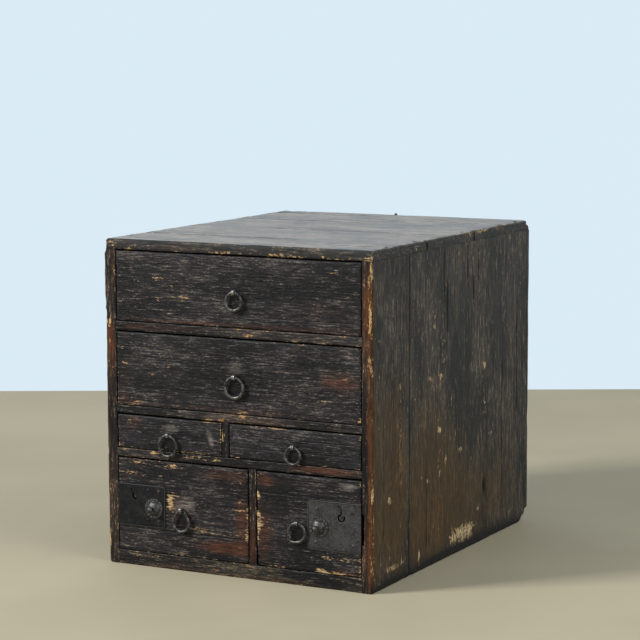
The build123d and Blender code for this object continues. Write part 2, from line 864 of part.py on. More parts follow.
def build_knob(drawer):
    """The knob, its spindle through rosette and plate, and the crank on its end."""
    lock = drawer.lock
    plate_face = knob_plane(drawer)
    nub = lock.nub_radius
    nub_base = dome_height + neck_height
    crank_back = crank_y + crank_thickness - (front_y - plate_thickness)
    lean = -lock.side * half_turn  # drawn, the crank leans away from the throw
    pin = (crank_reach * math.sin(lean), crank_reach * math.cos(lean))
    with BuildPart() as knob:
        turn(plate_face, knob_sides, (-crank_back, spindle_radius), (0, spindle_radius))
        turn(
            plate_face,
            knob_sides,
            (0, neck_radius),
            (nub_base, neck_radius),
            (nub_base + 0.4 * nub, nub),
            (nub_base + 0.9 * nub, nub),
            (nub_base + 1.5 * nub, 0.7 * nub),
            (nub_base + 1.8 * nub, 0.2 * nub),
        )
        crank_plane = plate_face.offset(-crank_back)
        with BuildSketch(crank_plane):
            Circle(crank_hub_radius)
            with Locations((pin[0] / 2, pin[1] / 2)):
                SlotCenterToCenter(crank_reach, 2 * crank_eye_radius, rotation=90 - math.degrees(lean))
        extrude(amount=crank_thickness)
        with BuildSketch(crank_plane):
            with Locations(pin):
                Circle(pin_radius)
        extrude(amount=-(bolt_play + bolt_thickness))
    save(knob, f"{drawer.name}_lock_knob")


def build_bolt(drawer):
    """A bar with the key's notch on top and a slot for the crank's pin in its tail."""
    lock = drawer.lock
    z = bolt_z(drawer)
    slot_z = knob_z(drawer) + crank_reach - pin_dip / 2
    with BuildPart() as bolt:
        with BuildSketch(Plane.XZ.offset(-bolt_front_y)) as outline:
            inset_box(drawer, bolt_end_gap, bolt_tail_inset(lock), z - bolt_height / 2, z + bolt_height / 2)
            chamfer(outline.vertices(), 0.6)
            with Locations((inset_x(drawer, lock.post_inset + bolt_travel / 2), z + bolt_height / 2)):
                Circle(key_notch_radius, mode=Mode.SUBTRACT)
            with Locations((inset_x(drawer, bolt_slot_inset(lock)), slot_z)):
                Rectangle(2 * (pin_radius + pin_play), 2 * (pin_radius + pin_play) + pin_dip, mode=Mode.SUBTRACT)
        extrude(amount=-bolt_thickness)
    save(bolt, f"{drawer.name}_lock_bolt")


def build_lock_case(drawer):
    """The back of the lock, with two guides for the bolt, the key post and a stud."""
    lock = drawer.lock
    near, far, low, high = lock_span(drawer)
    z = bolt_z(drawer)
    half = bolt_height / 2 + bolt_play
    guide_front = bolt_front_y - bolt_play - guide_wall
    second_guide = lock.knob_inset - crank_reach - crank_eye_radius - pocket_play
    with BuildPart() as case:
        with BuildSketch(Plane.XZ.offset(-lock_back_y)):
            inset_box(drawer, near, far, low, high)
        extrude(amount=-lock_back_thickness)
        with BuildSketch(Plane.XZ.offset(-lock_back_y)):
            for guide_near in (near, second_guide - guide_length):
                guide_far = guide_near + guide_length
                inset_box(drawer, guide_near, guide_far, z - half - guide_wall, z + half + guide_wall)
        extrude(amount=lock_back_y - guide_front)
        with BuildSketch(Plane.XZ.offset(-(bolt_front_y - bolt_play))):
            inset_box(drawer, near, second_guide, z - half, z + half)
        extrude(amount=-(bolt_thickness + 2 * bolt_play), mode=Mode.SUBTRACT)
        with BuildSketch(Plane.XZ.offset(-lock_back_y)):
            with Locations((inset_x(drawer, lock.post_inset), post_z(drawer))):
                Circle(post_radius)
        extrude(amount=lock_back_y - front_y + plate_thickness)
        with BuildSketch(Plane.XZ.offset(plate_thickness - front_y)):
            with Locations((inset_x(drawer, lock.post_inset), post_z(drawer))):
                Circle(post_bore_radius)
        extrude(amount=-2 * plate_thickness, mode=Mode.SUBTRACT)
        with BuildSketch(Plane.XZ.offset(-lock_back_y)):
            with Locations(stud_centre(drawer)):
                Circle(stud_radius)
        extrude(amount=bolt_thickness)
    save(case, f"{drawer.name}_lock_case")


def stud_centre(drawer):
    """The stud that the spring's foot rests on, low beside the first guide."""
    low = lock_span(drawer)[2]
    return inset_x(drawer, lock_inset + guide_length + stud_radius), low + stud_radius + pocket_play


def build_spring(drawer):
    """A leaf that bows up from the stud and bears on the bolt's lower edge."""
    lock = drawer.lock
    stud_x, stud_z = stud_centre(drawer)
    foot = (stud_x, stud_z + stud_radius + stud_clearance + spring_thickness / 2)
    crown_z = bolt_z(drawer) - bolt_height / 2 - spring_gap - spring_thickness / 2
    crown = (inset_x(drawer, lock.post_inset + 2 * spring_width), crown_z)
    bow = ((foot[0] + 2 * crown[0]) / 3, (foot[1] + 2 * crown[1]) / 3 + spring_thickness)
    leaf = ThreePointArc(foot, bow, crown)
    with BuildPart() as spring:
        with BuildSketch(Plane.XZ.offset(-(bolt_y - spring_width / 2))):
            SlotArc(leaf, spring_thickness)
        extrude(amount=-spring_width)
    save(spring, f"{drawer.name}_lock_spring")


# ----------------------------------------------------------------------------- assembly
seam_y = front_y + front_plank_width
for side, hand in ((-1, "left"), (1, "right")):
    build_side_plank(side, f"{hand}_front_plank", front_y, seam_y - plank_seam / 2, at_front=True)
    build_side_plank(side, f"{hand}_rear_plank", seam_y + plank_seam / 2, back_y, at_front=False)
build_top()
build_bottom()
build_back()
for shelf in shelves:
    build_rail(shelf)
    build_dust_board(shelf)
build_divider("upper_divider", upper_divider_x, upper_divider_thickness, small_floor_z, middle_shelf_z)
build_divider("lower_divider", lower_divider_x, lower_divider_thickness, lower_floor_z, lower_shelf_z)
build_pegs()

for drawer in drawers:
    build_drawer_front(drawer)
    build_drawer_walls(drawer)
    build_drawer_bottom(drawer)
    build_staple(drawer)
    if drawer.pull.open_ended:
        build_open_ring(drawer)
    else:
        build_closed_ring(drawer)
    if drawer.lock:
        build_plate(drawer)
        build_plate_nails(drawer)
        build_rosette(drawer)
        build_knob(drawer)
        build_bolt(drawer)
        build_lock_case(drawer)
        build_spring(drawer)
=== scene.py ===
import math

import bmesh
import bpy
from mathutils import Matrix, Vector, noise


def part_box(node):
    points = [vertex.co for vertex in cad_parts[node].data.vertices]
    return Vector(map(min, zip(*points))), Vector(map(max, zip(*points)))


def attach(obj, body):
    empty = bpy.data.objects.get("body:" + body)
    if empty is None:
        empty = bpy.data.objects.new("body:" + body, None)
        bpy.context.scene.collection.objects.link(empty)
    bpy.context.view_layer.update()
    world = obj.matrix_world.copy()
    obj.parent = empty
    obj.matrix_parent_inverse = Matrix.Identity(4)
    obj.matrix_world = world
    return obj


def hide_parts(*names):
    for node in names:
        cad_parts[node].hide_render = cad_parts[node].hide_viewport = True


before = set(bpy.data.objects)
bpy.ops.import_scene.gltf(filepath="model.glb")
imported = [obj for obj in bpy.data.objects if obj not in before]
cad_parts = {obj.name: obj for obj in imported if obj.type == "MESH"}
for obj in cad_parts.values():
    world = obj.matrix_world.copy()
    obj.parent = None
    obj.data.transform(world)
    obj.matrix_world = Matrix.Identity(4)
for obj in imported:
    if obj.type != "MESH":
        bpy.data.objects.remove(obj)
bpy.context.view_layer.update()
mm = 0.001
topLow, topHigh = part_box("top_planks")  # the top board reaches as far as the case does


# shader maths
class Wire:  # one socket of a material, which can be used in sums
    def __init__(self, tree, socket=None):
        self.tree = tree
        self.socket = socket

    def node(self, kind, settings=None, values=None, output=0):
        made = self.tree.nodes.new("ShaderNode" + kind)
        for key, value in (settings or {}).items():
            setattr(made, key, value)
        for key, value in (values or {}).items():
            if isinstance(value, Wire):
                self.tree.links.new(value.socket, made.inputs[key])
            else:
                made.inputs[key].default_value = value
        return Wire(self.tree, made.outputs[output] if made.outputs else None)

    def sum(self, operation, first, second=0.0):
        return self.node("Math", {"operation": operation}, {0: first, 1: second})

    def __add__(self, other):
        return self.sum("ADD", self, other)

    def __radd__(self, other):
        return self.sum("ADD", other, self)

    def __sub__(self, other):
        return self.sum("SUBTRACT", self, other)

    def __rsub__(self, other):
        return self.sum("SUBTRACT", other, self)

    def __mul__(self, other):
        return self.sum("MULTIPLY", self, other)

    def __rmul__(self, other):
        return self.sum("MULTIPLY", other, self)

    def most(self, other):
        return self.sum("MAXIMUM", self, other)

    def size(self):
        return self.sum("ABSOLUTE", self)

    def root(self):
        return self.sum("SQRT", self)

    def ramp(self, start, end):  # 0 at start, 1 at end, eased between them
        return self.node("MapRange", {"interpolation_type": "SMOOTHSTEP"}, {0: self, 1: start, 2: end})

    def mix(self, first, second):  # colours, this wire says how much of the second
        return self.node("Mix", {"data_type": "RGBA"}, {0: self, 6: tint(first), 7: tint(second)}, 2)


def tint(colour):
    return colour if isinstance(colour, Wire) else (*colour, 1.0)


def newMaterial(name):
    material = bpy.data.materials.new(name)
    material.use_nodes = True
    material.node_tree.nodes.clear()
    return material, Wire(material.node_tree)


def finishMaterial(start, colour, roughness, metallic, height, relief, gloss):
    bump = start.node("Bump", {}, {"Strength": 1.0, "Distance": relief, "Height": height})
    surface = start.node(
        "BsdfPrincipled",
        {},
        {
            "Base Color": colour,
            "Roughness": roughness,
            "Metallic": metallic,
            "Specular IOR Level": gloss,
            "Normal": bump,
        },
    )
    start.node("OutputMaterial", {}, {"Surface": surface})


# wood
# deep is the darkest film, thin the film on raised grain, crest the highest grain, pale bleached bare wood
# and warm the red undercoat; flecks adds bare wood everywhere, and coarse widens the grain
lacquered = {
    "deep": (0.0034, 0.0030, 0.0038),
    "film": (0.0128, 0.0110, 0.0128),
    "thin": (0.080, 0.067, 0.063),
    "crest": (0.23, 0.195, 0.165),
    "bare": (0.27, 0.145, 0.055),
    "pale": (0.56, 0.40, 0.21),
    "warm": (0.060, 0.021, 0.010),
    "thinShare": 0.75,
    "crestShare": 0.5,
    "flecks": 0.0,
    "coarse": 1.0,
    "roughness": 0.46,
    "gloss": 0.2,
    "relief": 0.0008,
}
sideFilm = {
    "deep": (0.0075, 0.0063, 0.0050),
    "film": (0.030, 0.0250, 0.0195),
    "thin": (0.088, 0.073, 0.056),
    "crest": (0.17, 0.145, 0.110),
    "bare": (0.27, 0.165, 0.065),
    "pale": (0.48, 0.38, 0.23),
    "warm": (0.040, 0.0235, 0.0088),
    "thinShare": 0.7,
    "crestShare": 0.6,
    "flecks": 0.0,
    "coarse": 2.1,
    "roughness": 0.6,
    "gloss": 0.22,
    "relief": 0.0007,
}
# the top's light grey is partly real weathering and partly a painted reflection of the window's sheen
weatheredAndSheen = {
    "deep": (0.085, 0.074, 0.065),
    "film": (0.185, 0.160, 0.140),
    "thin": (0.36, 0.315, 0.275),
    "crest": (0.46, 0.41, 0.36),
    "bare": (0.23, 0.155, 0.085),
    "pale": (0.38, 0.30, 0.20),
    "warm": (0.05, 0.032, 0.02),
    "thinShare": 0.8,
    "crestShare": 0.5,
    "flecks": 0.0,
    "coarse": 1.7,
    "roughness": 0.42,
    "gloss": 0.42,
    "relief": 0.0003,
}
inside = {
    "deep": (0.06, 0.040, 0.024),
    "film": (0.15, 0.105, 0.062),
    "thin": (0.23, 0.17, 0.105),
    "crest": (0.30, 0.23, 0.15),
    "bare": (0.30, 0.215, 0.13),
    "pale": (0.36, 0.27, 0.17),
    "warm": (0.14, 0.075, 0.035),
    "thinShare": 0.8,
    "crestShare": 0.3,
    "flecks": 0.05,
    "coarse": 1.0,
    "roughness": 0.75,
    "gloss": 0.25,
    "relief": 0.0004,
}


def woodMaterial(name, wood, grain, shift=0.0, edgeWood=None):
    material, start = newMaterial(name)
    place = start.node("TexCoord", output=3)

    def streaks(along, across, detail, harsh=0.55, offset=0.0, wander=0.0):
        scale = [across / wood["coarse"]] * 3
        scale["xyz".index(grain)] = along
        spot = start.node(
            "Mapping", {}, {"Vector": place, "Location": [shift + offset] * 3, "Scale": scale}
        )
        return start.node(
            "TexNoise",
            {},
            {"Vector": spot, "Scale": 1.0, "Detail": detail, "Roughness": harsh, "Distortion": wander},
        )

    def painted(attribute):
        return start.node("Attribute", {"attribute_name": attribute}, output=2)

    fibre = streaks(75, 1000, 3, 0.72)
    thread = streaks(14, 700, 2, 0.6, 9.5)
    ridge = streaks(46, 470, 4, 0.68, 3.1, 0.3)
    band = streaks(9, 95, 3, 0.6, 5.9, 0.4)
    cloud = streaks(10, 22 * wood["coarse"], 4, 0.6, 7.7)
    nick = streaks(260, 650, 2, 0.6, 11.3)
    bare = painted("bare")
    warm = painted("warm")
    scuff = painted("scuff")
    dark = painted("dark")

    def paint(key, gain=1.0):  # some boards have another finish on the faces that aren't outer
        colour = [gain * part for part in wood[key]]
        if not edgeWood:
            return colour
        return painted("outer").mix([gain * part for part in edgeWood[key]], colour)

    film = (cloud + 0.5 * (band - 0.5)).ramp(0.34, 0.64).mix(paint("deep"), paint("film"))
    grainMix = ridge * 0.5 + fibre * 0.3 + thread * 0.2
    raised = (grainMix + 0.24 * (cloud - 0.5) + 0.2 * (nick - 0.5)).ramp(0.495, 0.605)
    film = (raised * wood["thinShare"]).mix(film, paint("thin"))
    crest = (grainMix + 0.2 * (cloud - 0.5) + 0.5 * (nick - 0.5)).ramp(0.57, 0.66)
    film = (crest * wood["crestShare"]).mix(film, paint("crest"))
    redness = (warm + 0.5 * (band - 0.5) + 0.5 * (cloud - 0.5) + 0.5 * (ridge - 0.5)).ramp(0.1, 0.95)
    film = redness.mix(film, raised.mix(paint("warm"), paint("warm", 1.9)))
    rubbed = (scuff + 0.8 * (ridge - 0.5) + 0.5 * (nick - 0.5)).ramp(0.25, 1.1)
    film = rubbed.mix(film, (0.21, 0.185, 0.165))
    scattered = wood["flecks"] + 1.2 * (cloud - 0.5)
    rubbedThrough = (
        0.85 * bare + scattered + 1.5 * (ridge - 0.5) + 1.3 * (fibre - 0.5) + 1.5 * (nick - 0.5)
    ).ramp(0.56, 0.74)
    wornWood = (0.4 * ridge + 0.4 * fibre + 0.4 * nick + 0.2 * (bare - 0.6)).ramp(0.54, 0.78)
    wornWood = wornWood.mix(paint("bare"), paint("pale"))
    colour = rubbedThrough.mix(film, wornWood)
    pores = (0.35 * fibre + 0.45 * ridge + 0.2 * thread).ramp(0.45, 0.39) * 0.9
    colour = pores.mix(colour, paint("deep"))
    # near black where 'dark' is painted: painted shade in cracks, in the gaps behind fronts and behind the
    # ring pulls, as well as dark stains and seams
    colour = dark.mix(colour, (0.0025, 0.0020, 0.0018))
    height = 0.5 * fibre + 0.7 * ridge + 0.4 * thread + 0.4 * band - 0.2 * rubbedThrough - 0.5 * pores
    roughness = wood["roughness"] + 0.25 * rubbedThrough + 0.3 * (cloud - 0.5) + 0.25 * (nick - 0.5)
    if edgeWood:
        inner = 1.0 - painted("outer")
        roughness = roughness + inner * (edgeWood["roughness"] - wood["roughness"])
        height = height * (1.0 + inner * (edgeWood["relief"] / wood["relief"] - 1.0))
    finishMaterial(start, colour, roughness, 0.0, height, wood["relief"], wood["gloss"])
    return material


# iron
forged = {
    "dark": (0.012, 0.0115, 0.0115),
    "light": (0.050, 0.050, 0.050),
    "rust": (0.050, 0.027, 0.016),
    "rustShare": 0.35,
    "metallic": 0.45,
    "roughness": 0.52,
    "grain": 420,
    "relief": 0.0005,
    "gloss": 0.5,
}
ringIron = dict(
    forged,
    dark=(0.013, 0.0127, 0.0125),
    light=(0.135, 0.132, 0.126),
    rustShare=0.2,
    metallic=0.7,
    roughness=0.36,
    relief=0.00025,
)
plateIron = dict(
    forged,
    dark=(0.0035, 0.0037, 0.0045),
    light=(0.014, 0.014, 0.016),
    rustShare=0.15,
    metallic=0.2,
    gloss=0.2,
)
greyIron = dict(forged, dark=(0.020, 0.0195, 0.0195), light=(0.062, 0.060, 0.059), rustShare=0.15)


def ironMaterial(name, iron, holes=(), rim=None):
    material, start = newMaterial(name)
    place = start.node("TexCoord", output=3)

    def cloudy(scale, detail, offset=0.0, harsh=0.6):
        spot = start.node("Mapping", {}, {"Vector": place, "Location": [offset] * 3})
        return start.node(
            "TexNoise", {}, {"Vector": spot, "Scale": scale, "Detail": detail, "Roughness": harsh}
        )

    pits = cloudy(iron["grain"] * 2.6, 3, 0.3)
    skin = cloudy(iron["grain"], 4)
    cloud = cloudy(95, 3, 1.7)
    colour = (0.6 * skin + 0.4 * cloud).ramp(0.38, 0.64).mix(iron["dark"], iron["light"])
    rust = (cloud + 0.5 * (pits - 0.5)).ramp(0.5, 0.68) * iron["rustShare"]
    colour = rust.mix(colour, iron["rust"])
    height = 0.6 * skin + 0.5 * pits
    if rim:  # a raised edge that follows the plate's rounded end
        split = [start.node("SeparateXYZ", {}, {0: place}, axis) for axis in range(3)]
        across = ((split[0] - rim["x"]).size() - (rim["halfWidth"] - rim["corner"])).most(0.0)
        up = ((split[2] - rim["z"]).size() - (rim["halfHeight"] - rim["corner"])).most(0.0)
        reach = (across * across + up * up).root()
        inward = rim["corner"] - reach
        groove = (inward - rim["groove"]).size().ramp(0.0006, 0.0001)
        border = inward.ramp(rim["groove"], rim["groove"] - 0.0004)
        colour = (border * 0.5).mix(colour, iron["edge"])
        # painted shade: the groove is painted near black
        colour = (groove * 0.85).mix(colour, (0.003, 0.003, 0.003))
        height = height + 0.8 * border - 1.6 * groove
    for x, z, radius in holes:  # old nail holes, in mm on the plate's face
        away = start.node(
            "VectorMath",
            {"operation": "DISTANCE"},
            {0: place, 1: (x * mm, rim["face"], z * mm)},
            1,
        )
        hole = away.ramp(radius * mm, 0.7 * radius * mm)
        # painted shade: the hole is painted near black
        colour = hole.mix(colour, (0.002, 0.002, 0.002))
        height = height - 3.0 * hole
    roughness = iron["roughness"] + 0.35 * (skin - 0.5) + 0.2 * rust + 0.25 * (pits - 0.5)
    finishMaterial(start, colour, roughness, iron["metallic"], height, iron["relief"], iron["gloss"])
    return material


# shapes
def cadCopy(node):
    shape = bmesh.new()
    shape.from_mesh(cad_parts[node].data)
    bmesh.ops.remove_doubles(shape, verts=shape.verts, dist=1e-6)
    bmesh.ops.dissolve_limit(
        shape, angle_limit=math.radians(1.0), verts=shape.verts, edges=shape.edges
    )
    return shape


def cutAcross(shape, axis, places):
    normal = Vector([float(axis == n) for n in range(3)])
    for place in places:
        bmesh.ops.bisect_plane(
            shape,
            geom=shape.verts[:] + shape.edges[:] + shape.faces[:],
            dist=1e-5,
            plane_co=normal * place,
            plane_no=normal,
        )


def finishPiece(name, shape, body, material, nodes, smooth=40.0):
    mesh = bpy.data.meshes.new(name)
    shape.normal_update()
    shape.to_mesh(mesh)
    shape.free()
    piece = bpy.data.objects.new(name, mesh)
    bpy.context.scene.collection.objects.link(piece)
    for face in mesh.polygons:
        face.use_smooth = True
    mesh.set_sharp_from_angle(angle=math.radians(smooth))
    mesh.materials.append(material)
    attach(piece, body)
    if nodes:
        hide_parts(*nodes)


def refinish(node, material):  # a node of the model whose shape stays
    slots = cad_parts[node].data.materials
    slots.clear()
    slots.append(material)


def softenEdges(shape, edges, width):
    bmesh.ops.bevel(
        shape,
        geom=edges,
        offset=width * mm,
        offset_type="OFFSET",
        segments=2,
        profile=0.5,
        affect="EDGES",
        clamp_overlap=True,
        material=-1,
    )


def wave(place, scale, offset=0.0):
    return noise.noise(place * scale + Vector((offset, 1.7 * offset, 2.3 * offset)))


# worn boards
# spots are (across, up, half width, half height, amount) in mm on the front, right side, left side or top
faces = {
    "front": (0, 2, lambda place: place.y < topLow.y + 2.5 * mm),
    "side": (1, 2, lambda place: place.x > topHigh.x - 3 * mm),
    "left": (1, 2, lambda place: place.x < topLow.x + 3 * mm),
    "top": (0, 1, lambda place: place.z > topHigh.z - 3.5 * mm),
}
left, right = (0, -1), (0, 1)
front, back = (1, -1), (1, 1)
under, over = (2, -1), (2, 1)
# arrises are (face, face, radius, wear), cracks (axis, place, start, end, half width, depth), drift
# (axis, sign, amount, waves per metre) and bulges (axis, sign, from, to, amount), with lengths in mm
boardDefaults = {
    "arrisCuts": (0.6, 1.6, 3.2, 5.5),
    "frontCuts": (),
    "seed": 0.0,
    "spread": 1.0,
    "chips": 3.0,
    "wearWidth": 2.6,
    "bend": 1.0,
    "outer": None,
    "cracks": (),
    "drift": (),
    "bulges": (),
    "spots": {},
}
# lengths in mm, waves per metre
wearing = {
    "reach": 30.0,
    "longWave": 22.0,
    "shortWave": 90.0,
    "chipWave": 48.0,
    "chipLevel": 0.32,
    "fadeWave": 30.0,
    "faceSkin": 0.4,
    "driftSkin": 0.3,
    "crackSkin": 4.0,
    "bulgeSkin": 6.0,
    "crackEase": 18.0,
    "bulgeEase": 3.0,
    # how far behind the front the painted gap shade reaches, in mm
    "gapShadeDepth": 14.0,
}


def cutBoard(shape, corners, board):  # finer than the spots, and closer at the arrises and cracks
    for axis in range(3):
        step = board["steps"][axis] * mm
        low, high = corners[0][axis], corners[1][axis]
        cuts = [low + cut * mm for cut in board["frontCuts"] if axis == 1]
        if step:
            count = max(1, round((high - low) / step))
            cuts += [low + (high - low) * n / count for n in range(1, count)]
            for cut in board["arrisCuts"]:
                if cut * mm < (high - low) / 2:
                    cuts += [low + cut * mm, high - cut * mm]
        for crackAxis, across, start, end, width, depth in board["cracks"]:
            if axis == crackAxis:
                cuts += [(across + offset * width) * mm for offset in (-1.0, -0.4, 0.4, 1.0)]
        cutAcross(shape, axis, sorted(cuts))


def wearArrises(vert, place, corners, board):  # rounds the arrises, and returns how bare the wood is
    worn = 0.0
    seed = board["seed"]
    for (firstAxis, firstSign), (secondAxis, secondSign), radius, wear in board["arrises"]:
        firstEdge = corners[firstSign > 0][firstAxis]
        secondEdge = corners[secondSign > 0][secondAxis]
        first = (firstEdge - place[firstAxis]) * firstSign
        second = (secondEdge - place[secondAxis]) * secondSign
        if max(first, second) > wearing["reach"] * mm:
            continue
        ragged = 1.0 + 0.35 * wave(place, wearing["longWave"], seed)
        ragged += 0.25 * wave(place, wearing["shortWave"], seed)
        chip = wave(place, wearing["chipWave"], seed + 4.0) - wearing["chipLevel"]
        rounded = radius * mm * max(0.3, ragged + max(0.0, chip) * board["chips"])
        if first < rounded and second < rounded:
            away = math.hypot(rounded - first, rounded - second)
            if away > rounded:
                keep = rounded / away
                vert.co[firstAxis] -= firstSign * ((rounded - first) * (1 - keep))
                vert.co[secondAxis] -= secondSign * ((rounded - second) * (1 - keep))
        reach = max(first, second) / (board["wearWidth"] * mm)
        fade = 0.75 + 0.8 * wave(place, wearing["fadeWave"], seed + 9.0)
        worn = max(worn, wear * math.exp(-reach * reach) * fade)
    return worn


def paintSpots(place, corners, board, spots):
    skin = wearing["faceSkin"] * mm
    if board["outer"] == over and place.z > corners[1].z - skin:
        inward = min(place.x - corners[0].x, corners[1].x - place.x, place.y - corners[0].y) / mm
        inward += 3.0 * wave(place, 60.0, board["seed"])
        spots["outer"] = max(0.0, min(1.0, (inward - 1.5) / 3.0))
    if board["outer"] == front:
        spots["outer"] = float(place.y < corners[0].y + skin)
    behind = (place.y - corners[0].y) / mm
    # painted shade: the faces just behind the front, inside the gaps round drawers and rails, are darkened
    if board["frontCuts"] and board["frontCuts"][0] * 0.9 < behind < wearing["gapShadeDepth"]:
        spots["dark"] = 0.95  # painted shade in the gap beside the front
    for face, kinds in board["spots"].items():
        across, up, lies = faces[face]
        if not lies(place):
            continue
        for kind, places in kinds.items():
            for u, v, halfU, halfV, amount in places:
                halfU, halfV = halfU * board["spread"], halfV * board["spread"]
                far = ((place[across] / mm - u) / halfU) ** 2 + ((place[up] / mm - v) / halfV) ** 2
                if far < 6.0:
                    spots[kind] += amount * math.exp(-far)


def openCracks(vert, place, corners, board, spots):
    for crackAxis, across, start, end, width, depth in board["cracks"]:
        along = place["xyz".index(board["grain"])] / mm
        aside = abs(place[crackAxis] / mm - across)
        if aside < 0.95 * width and start < along < end:
            ease = min(1.0, (along - start) / wearing["crackEase"], (end - along) / wearing["crackEase"])
            faceAxis, faceSign = board["crackFace"]
            if abs(corners[faceSign > 0][faceAxis] - place[faceAxis]) < wearing["crackSkin"] * mm:
                vert.co[faceAxis] -= faceSign * depth * mm * ease
                # painted shade inside the crack
                spots["dark"] = max(spots["dark"], ease)
        if aside < 1.05 * width:
            bend = 1.6 * wave(Vector((across, along * 0.02, board["seed"])), 1.0)
            vert.co[crackAxis] += bend * mm * board["bend"]


def warpFaces(vert, place, corners, board):
    for axis, sign, amount, *scale in board["drift"]:
        if abs(corners[sign > 0][axis] - place[axis]) < wearing["driftSkin"] * mm:
            lump = wave(place, scale[0] if scale else 14.0, board["seed"] + 2.0)
            vert.co[axis] -= sign * amount * mm * (0.5 + 0.5 * lump)
    height = place.z / mm
    for axis, sign, low, high, amount in board["bulges"]:
        near = abs(corners[sign > 0][axis] - place[axis]) < wearing["bulgeSkin"] * mm
        if near and low < height < high:
            ends = min(1.0, (height - low) / wearing["bulgeEase"], (high - height) / wearing["bulgeEase"])
            vert.co[axis] += sign * amount * mm * ends


def wornBoard(name, node, body, material, settings):
    board = dict(boardDefaults, **settings)
    shape = cadCopy(node)
    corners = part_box(node)
    cutBoard(shape, corners, board)
    painted = ["bare", "warm", "scuff", "dark"] + ["outer"] * bool(board["outer"])
    layers = {key: shape.verts.layers.float.new(key) for key in painted}
    for vert in shape.verts:
        place = vert.co.copy()
        spots = {"bare": 0.0, "warm": 0.0, "scuff": 0.0, "dark": 0.0, "outer": 0.0}
        spots["bare"] = wearArrises(vert, place, corners, board)
        paintSpots(place, corners, board, spots)
        openCracks(vert, place, corners, board, spots)
        warpFaces(vert, place, corners, board)
        for kind, layer in layers.items():
            vert[layer] = max(0.0, min(1.3, spots[kind]))
    finishPiece(name, shape, body, material, [node])


frontWood = woodMaterial("lacquered front", lacquered, "x")
frontWoodLow = woodMaterial("lacquered front, lower", dict(lacquered, thin=(0.068, 0.056, 0.051)), "x", 4.3)
smallWood = woodMaterial(
    "lacquered small fronts", dict(lacquered, thin=(0.055, 0.052, 0.054), flecks=-0.04), "x", 9.1
)
railWood = woodMaterial(
    "lacquered rails",
    dict(lacquered, film=(0.026, 0.020, 0.018), thin=(0.12, 0.098, 0.084), flecks=0.06),
    "x",
    1.9,
)
baseWood = woodMaterial(
    "lacquered base",
    dict(lacquered, film=(0.024, 0.019, 0.014), thin=(0.11, 0.090, 0.062), flecks=0.05),
    "x",
    6.4,
)
dividerWood = woodMaterial("lacquered dividers", dict(lacquered, flecks=0.1), "z", 2.2)
stileFront = dict(
    lacquered,
    film=(0.020, 0.0135, 0.0100),
    thin=(0.075, 0.052, 0.038),
    bare=(0.30, 0.145, 0.045),
    pale=(0.54, 0.37, 0.17),
    warm=(0.085, 0.030, 0.010),
    coarse=1.3,
    flecks=0.02,
)
stileWood = woodMaterial("lacquered stiles", stileFront, "z", 3.3, sideFilm)
sideWood = woodMaterial("side boards", sideFilm, "z", 0.6)
topEdge = dict(
    lacquered,
    film=(0.016, 0.0130, 0.0100),
    thin=(0.072, 0.060, 0.046),
    crest=(0.19, 0.16, 0.12),
    roughness=0.72,
)
topWood = woodMaterial("weathered top", weatheredAndSheen, "x", 5.2, topEdge)
backWood = woodMaterial("back boards", dict(sideFilm, thin=(0.085, 0.07, 0.055)), "x", 8.8)
insideWoodX = woodMaterial("inside wood across", inside, "x", 1.1)
insideWoodY = woodMaterial("inside wood lengthways", inside, "y", 2.6)
pegWood = woodMaterial("pegs", dict(inside, film=(0.05, 0.035, 0.02)), "z", 7.0)
print("materials made")

wornBoard(
    "topBoards",
    "top_planks",
    "case",
    topWood,
    {
        "grain": "x",
        "steps": (5.5, 4.5, 3),
        "outer": over,
        "seed": 1.0,
        "chips": 2.2,
        "wearWidth": 2.8,
        "arrises": [
            (front, over, 4.8, 0.42),
            (front, under, 1.8, 0.5),
            (right, over, 7.5, 0.34),
            (left, over, 5.0, 0.4),
            (back, over, 9.0, 0.15),
            (right, back, 6.0, 0.1),
            (left, front, 4.0, 0.5),
            (right, front, 3.5, 0.6),
            (left, back, 4.0, 0.3),
        ],
        "cracks": [
            (1, -152, -190, 40, 3.4, 3.0),
            (1, -24, -70, 190, 3.2, 2.8),
            (1, 98, -190, 30, 3.4, 2.8),
            (1, 158, -30, 190, 3.2, 2.6),
            (1, -196, 20, 190, 2.4, 2.0),
            (1, 205, -190, -40, 2.4, 2.0),
        ],
        "crackFace": over,
        "drift": [(2, 1, 0.7), (0, 1, 0.8), (0, 1, 2.0, 110.0), (0, -1, 0.6), (1, -1, 0.4)],
        "spots": {
            "front": {
                "bare": [
                    (-181, 414, 9, 5, 0.6),
                    (-130, 411, 22, 2.5, 0.3),
                    (-20, 410, 14, 2.5, 0.45),
                    (40, 409, 45, 1.6, 0.6),
                    (120, 409, 40, 1.8, 0.5),
                    (184, 410, 6, 4, 0.7),
                ],
                "warm": [(-90, 411, 40, 6, 0.35), (60, 410, 80, 6, 0.3)],
            },
            "side": {
                "bare": [
                    (-116, 413, 11, 7, 0.62),
                    (60, 415, 34, 4, 0.5),
                    (115, 416, 44, 3.5, 0.5),
                    (-225, 414, 9, 5, 0.5),
                ],
                "dark": [(-190, 408, 40, 5, 0.5), (-20, 410, 70, 4, 0.5), (150, 410, 60, 5, 0.4)],
            },
            "top": {
                "dark": [(38, 130, 14, 2.5, 0.7), (30, 134, 6, 4, 0.6)],
                "bare": [(186, 95, 4, 40, 0.5), (150, 188, 30, 3, 0.4)],
            },
        },
    },
)

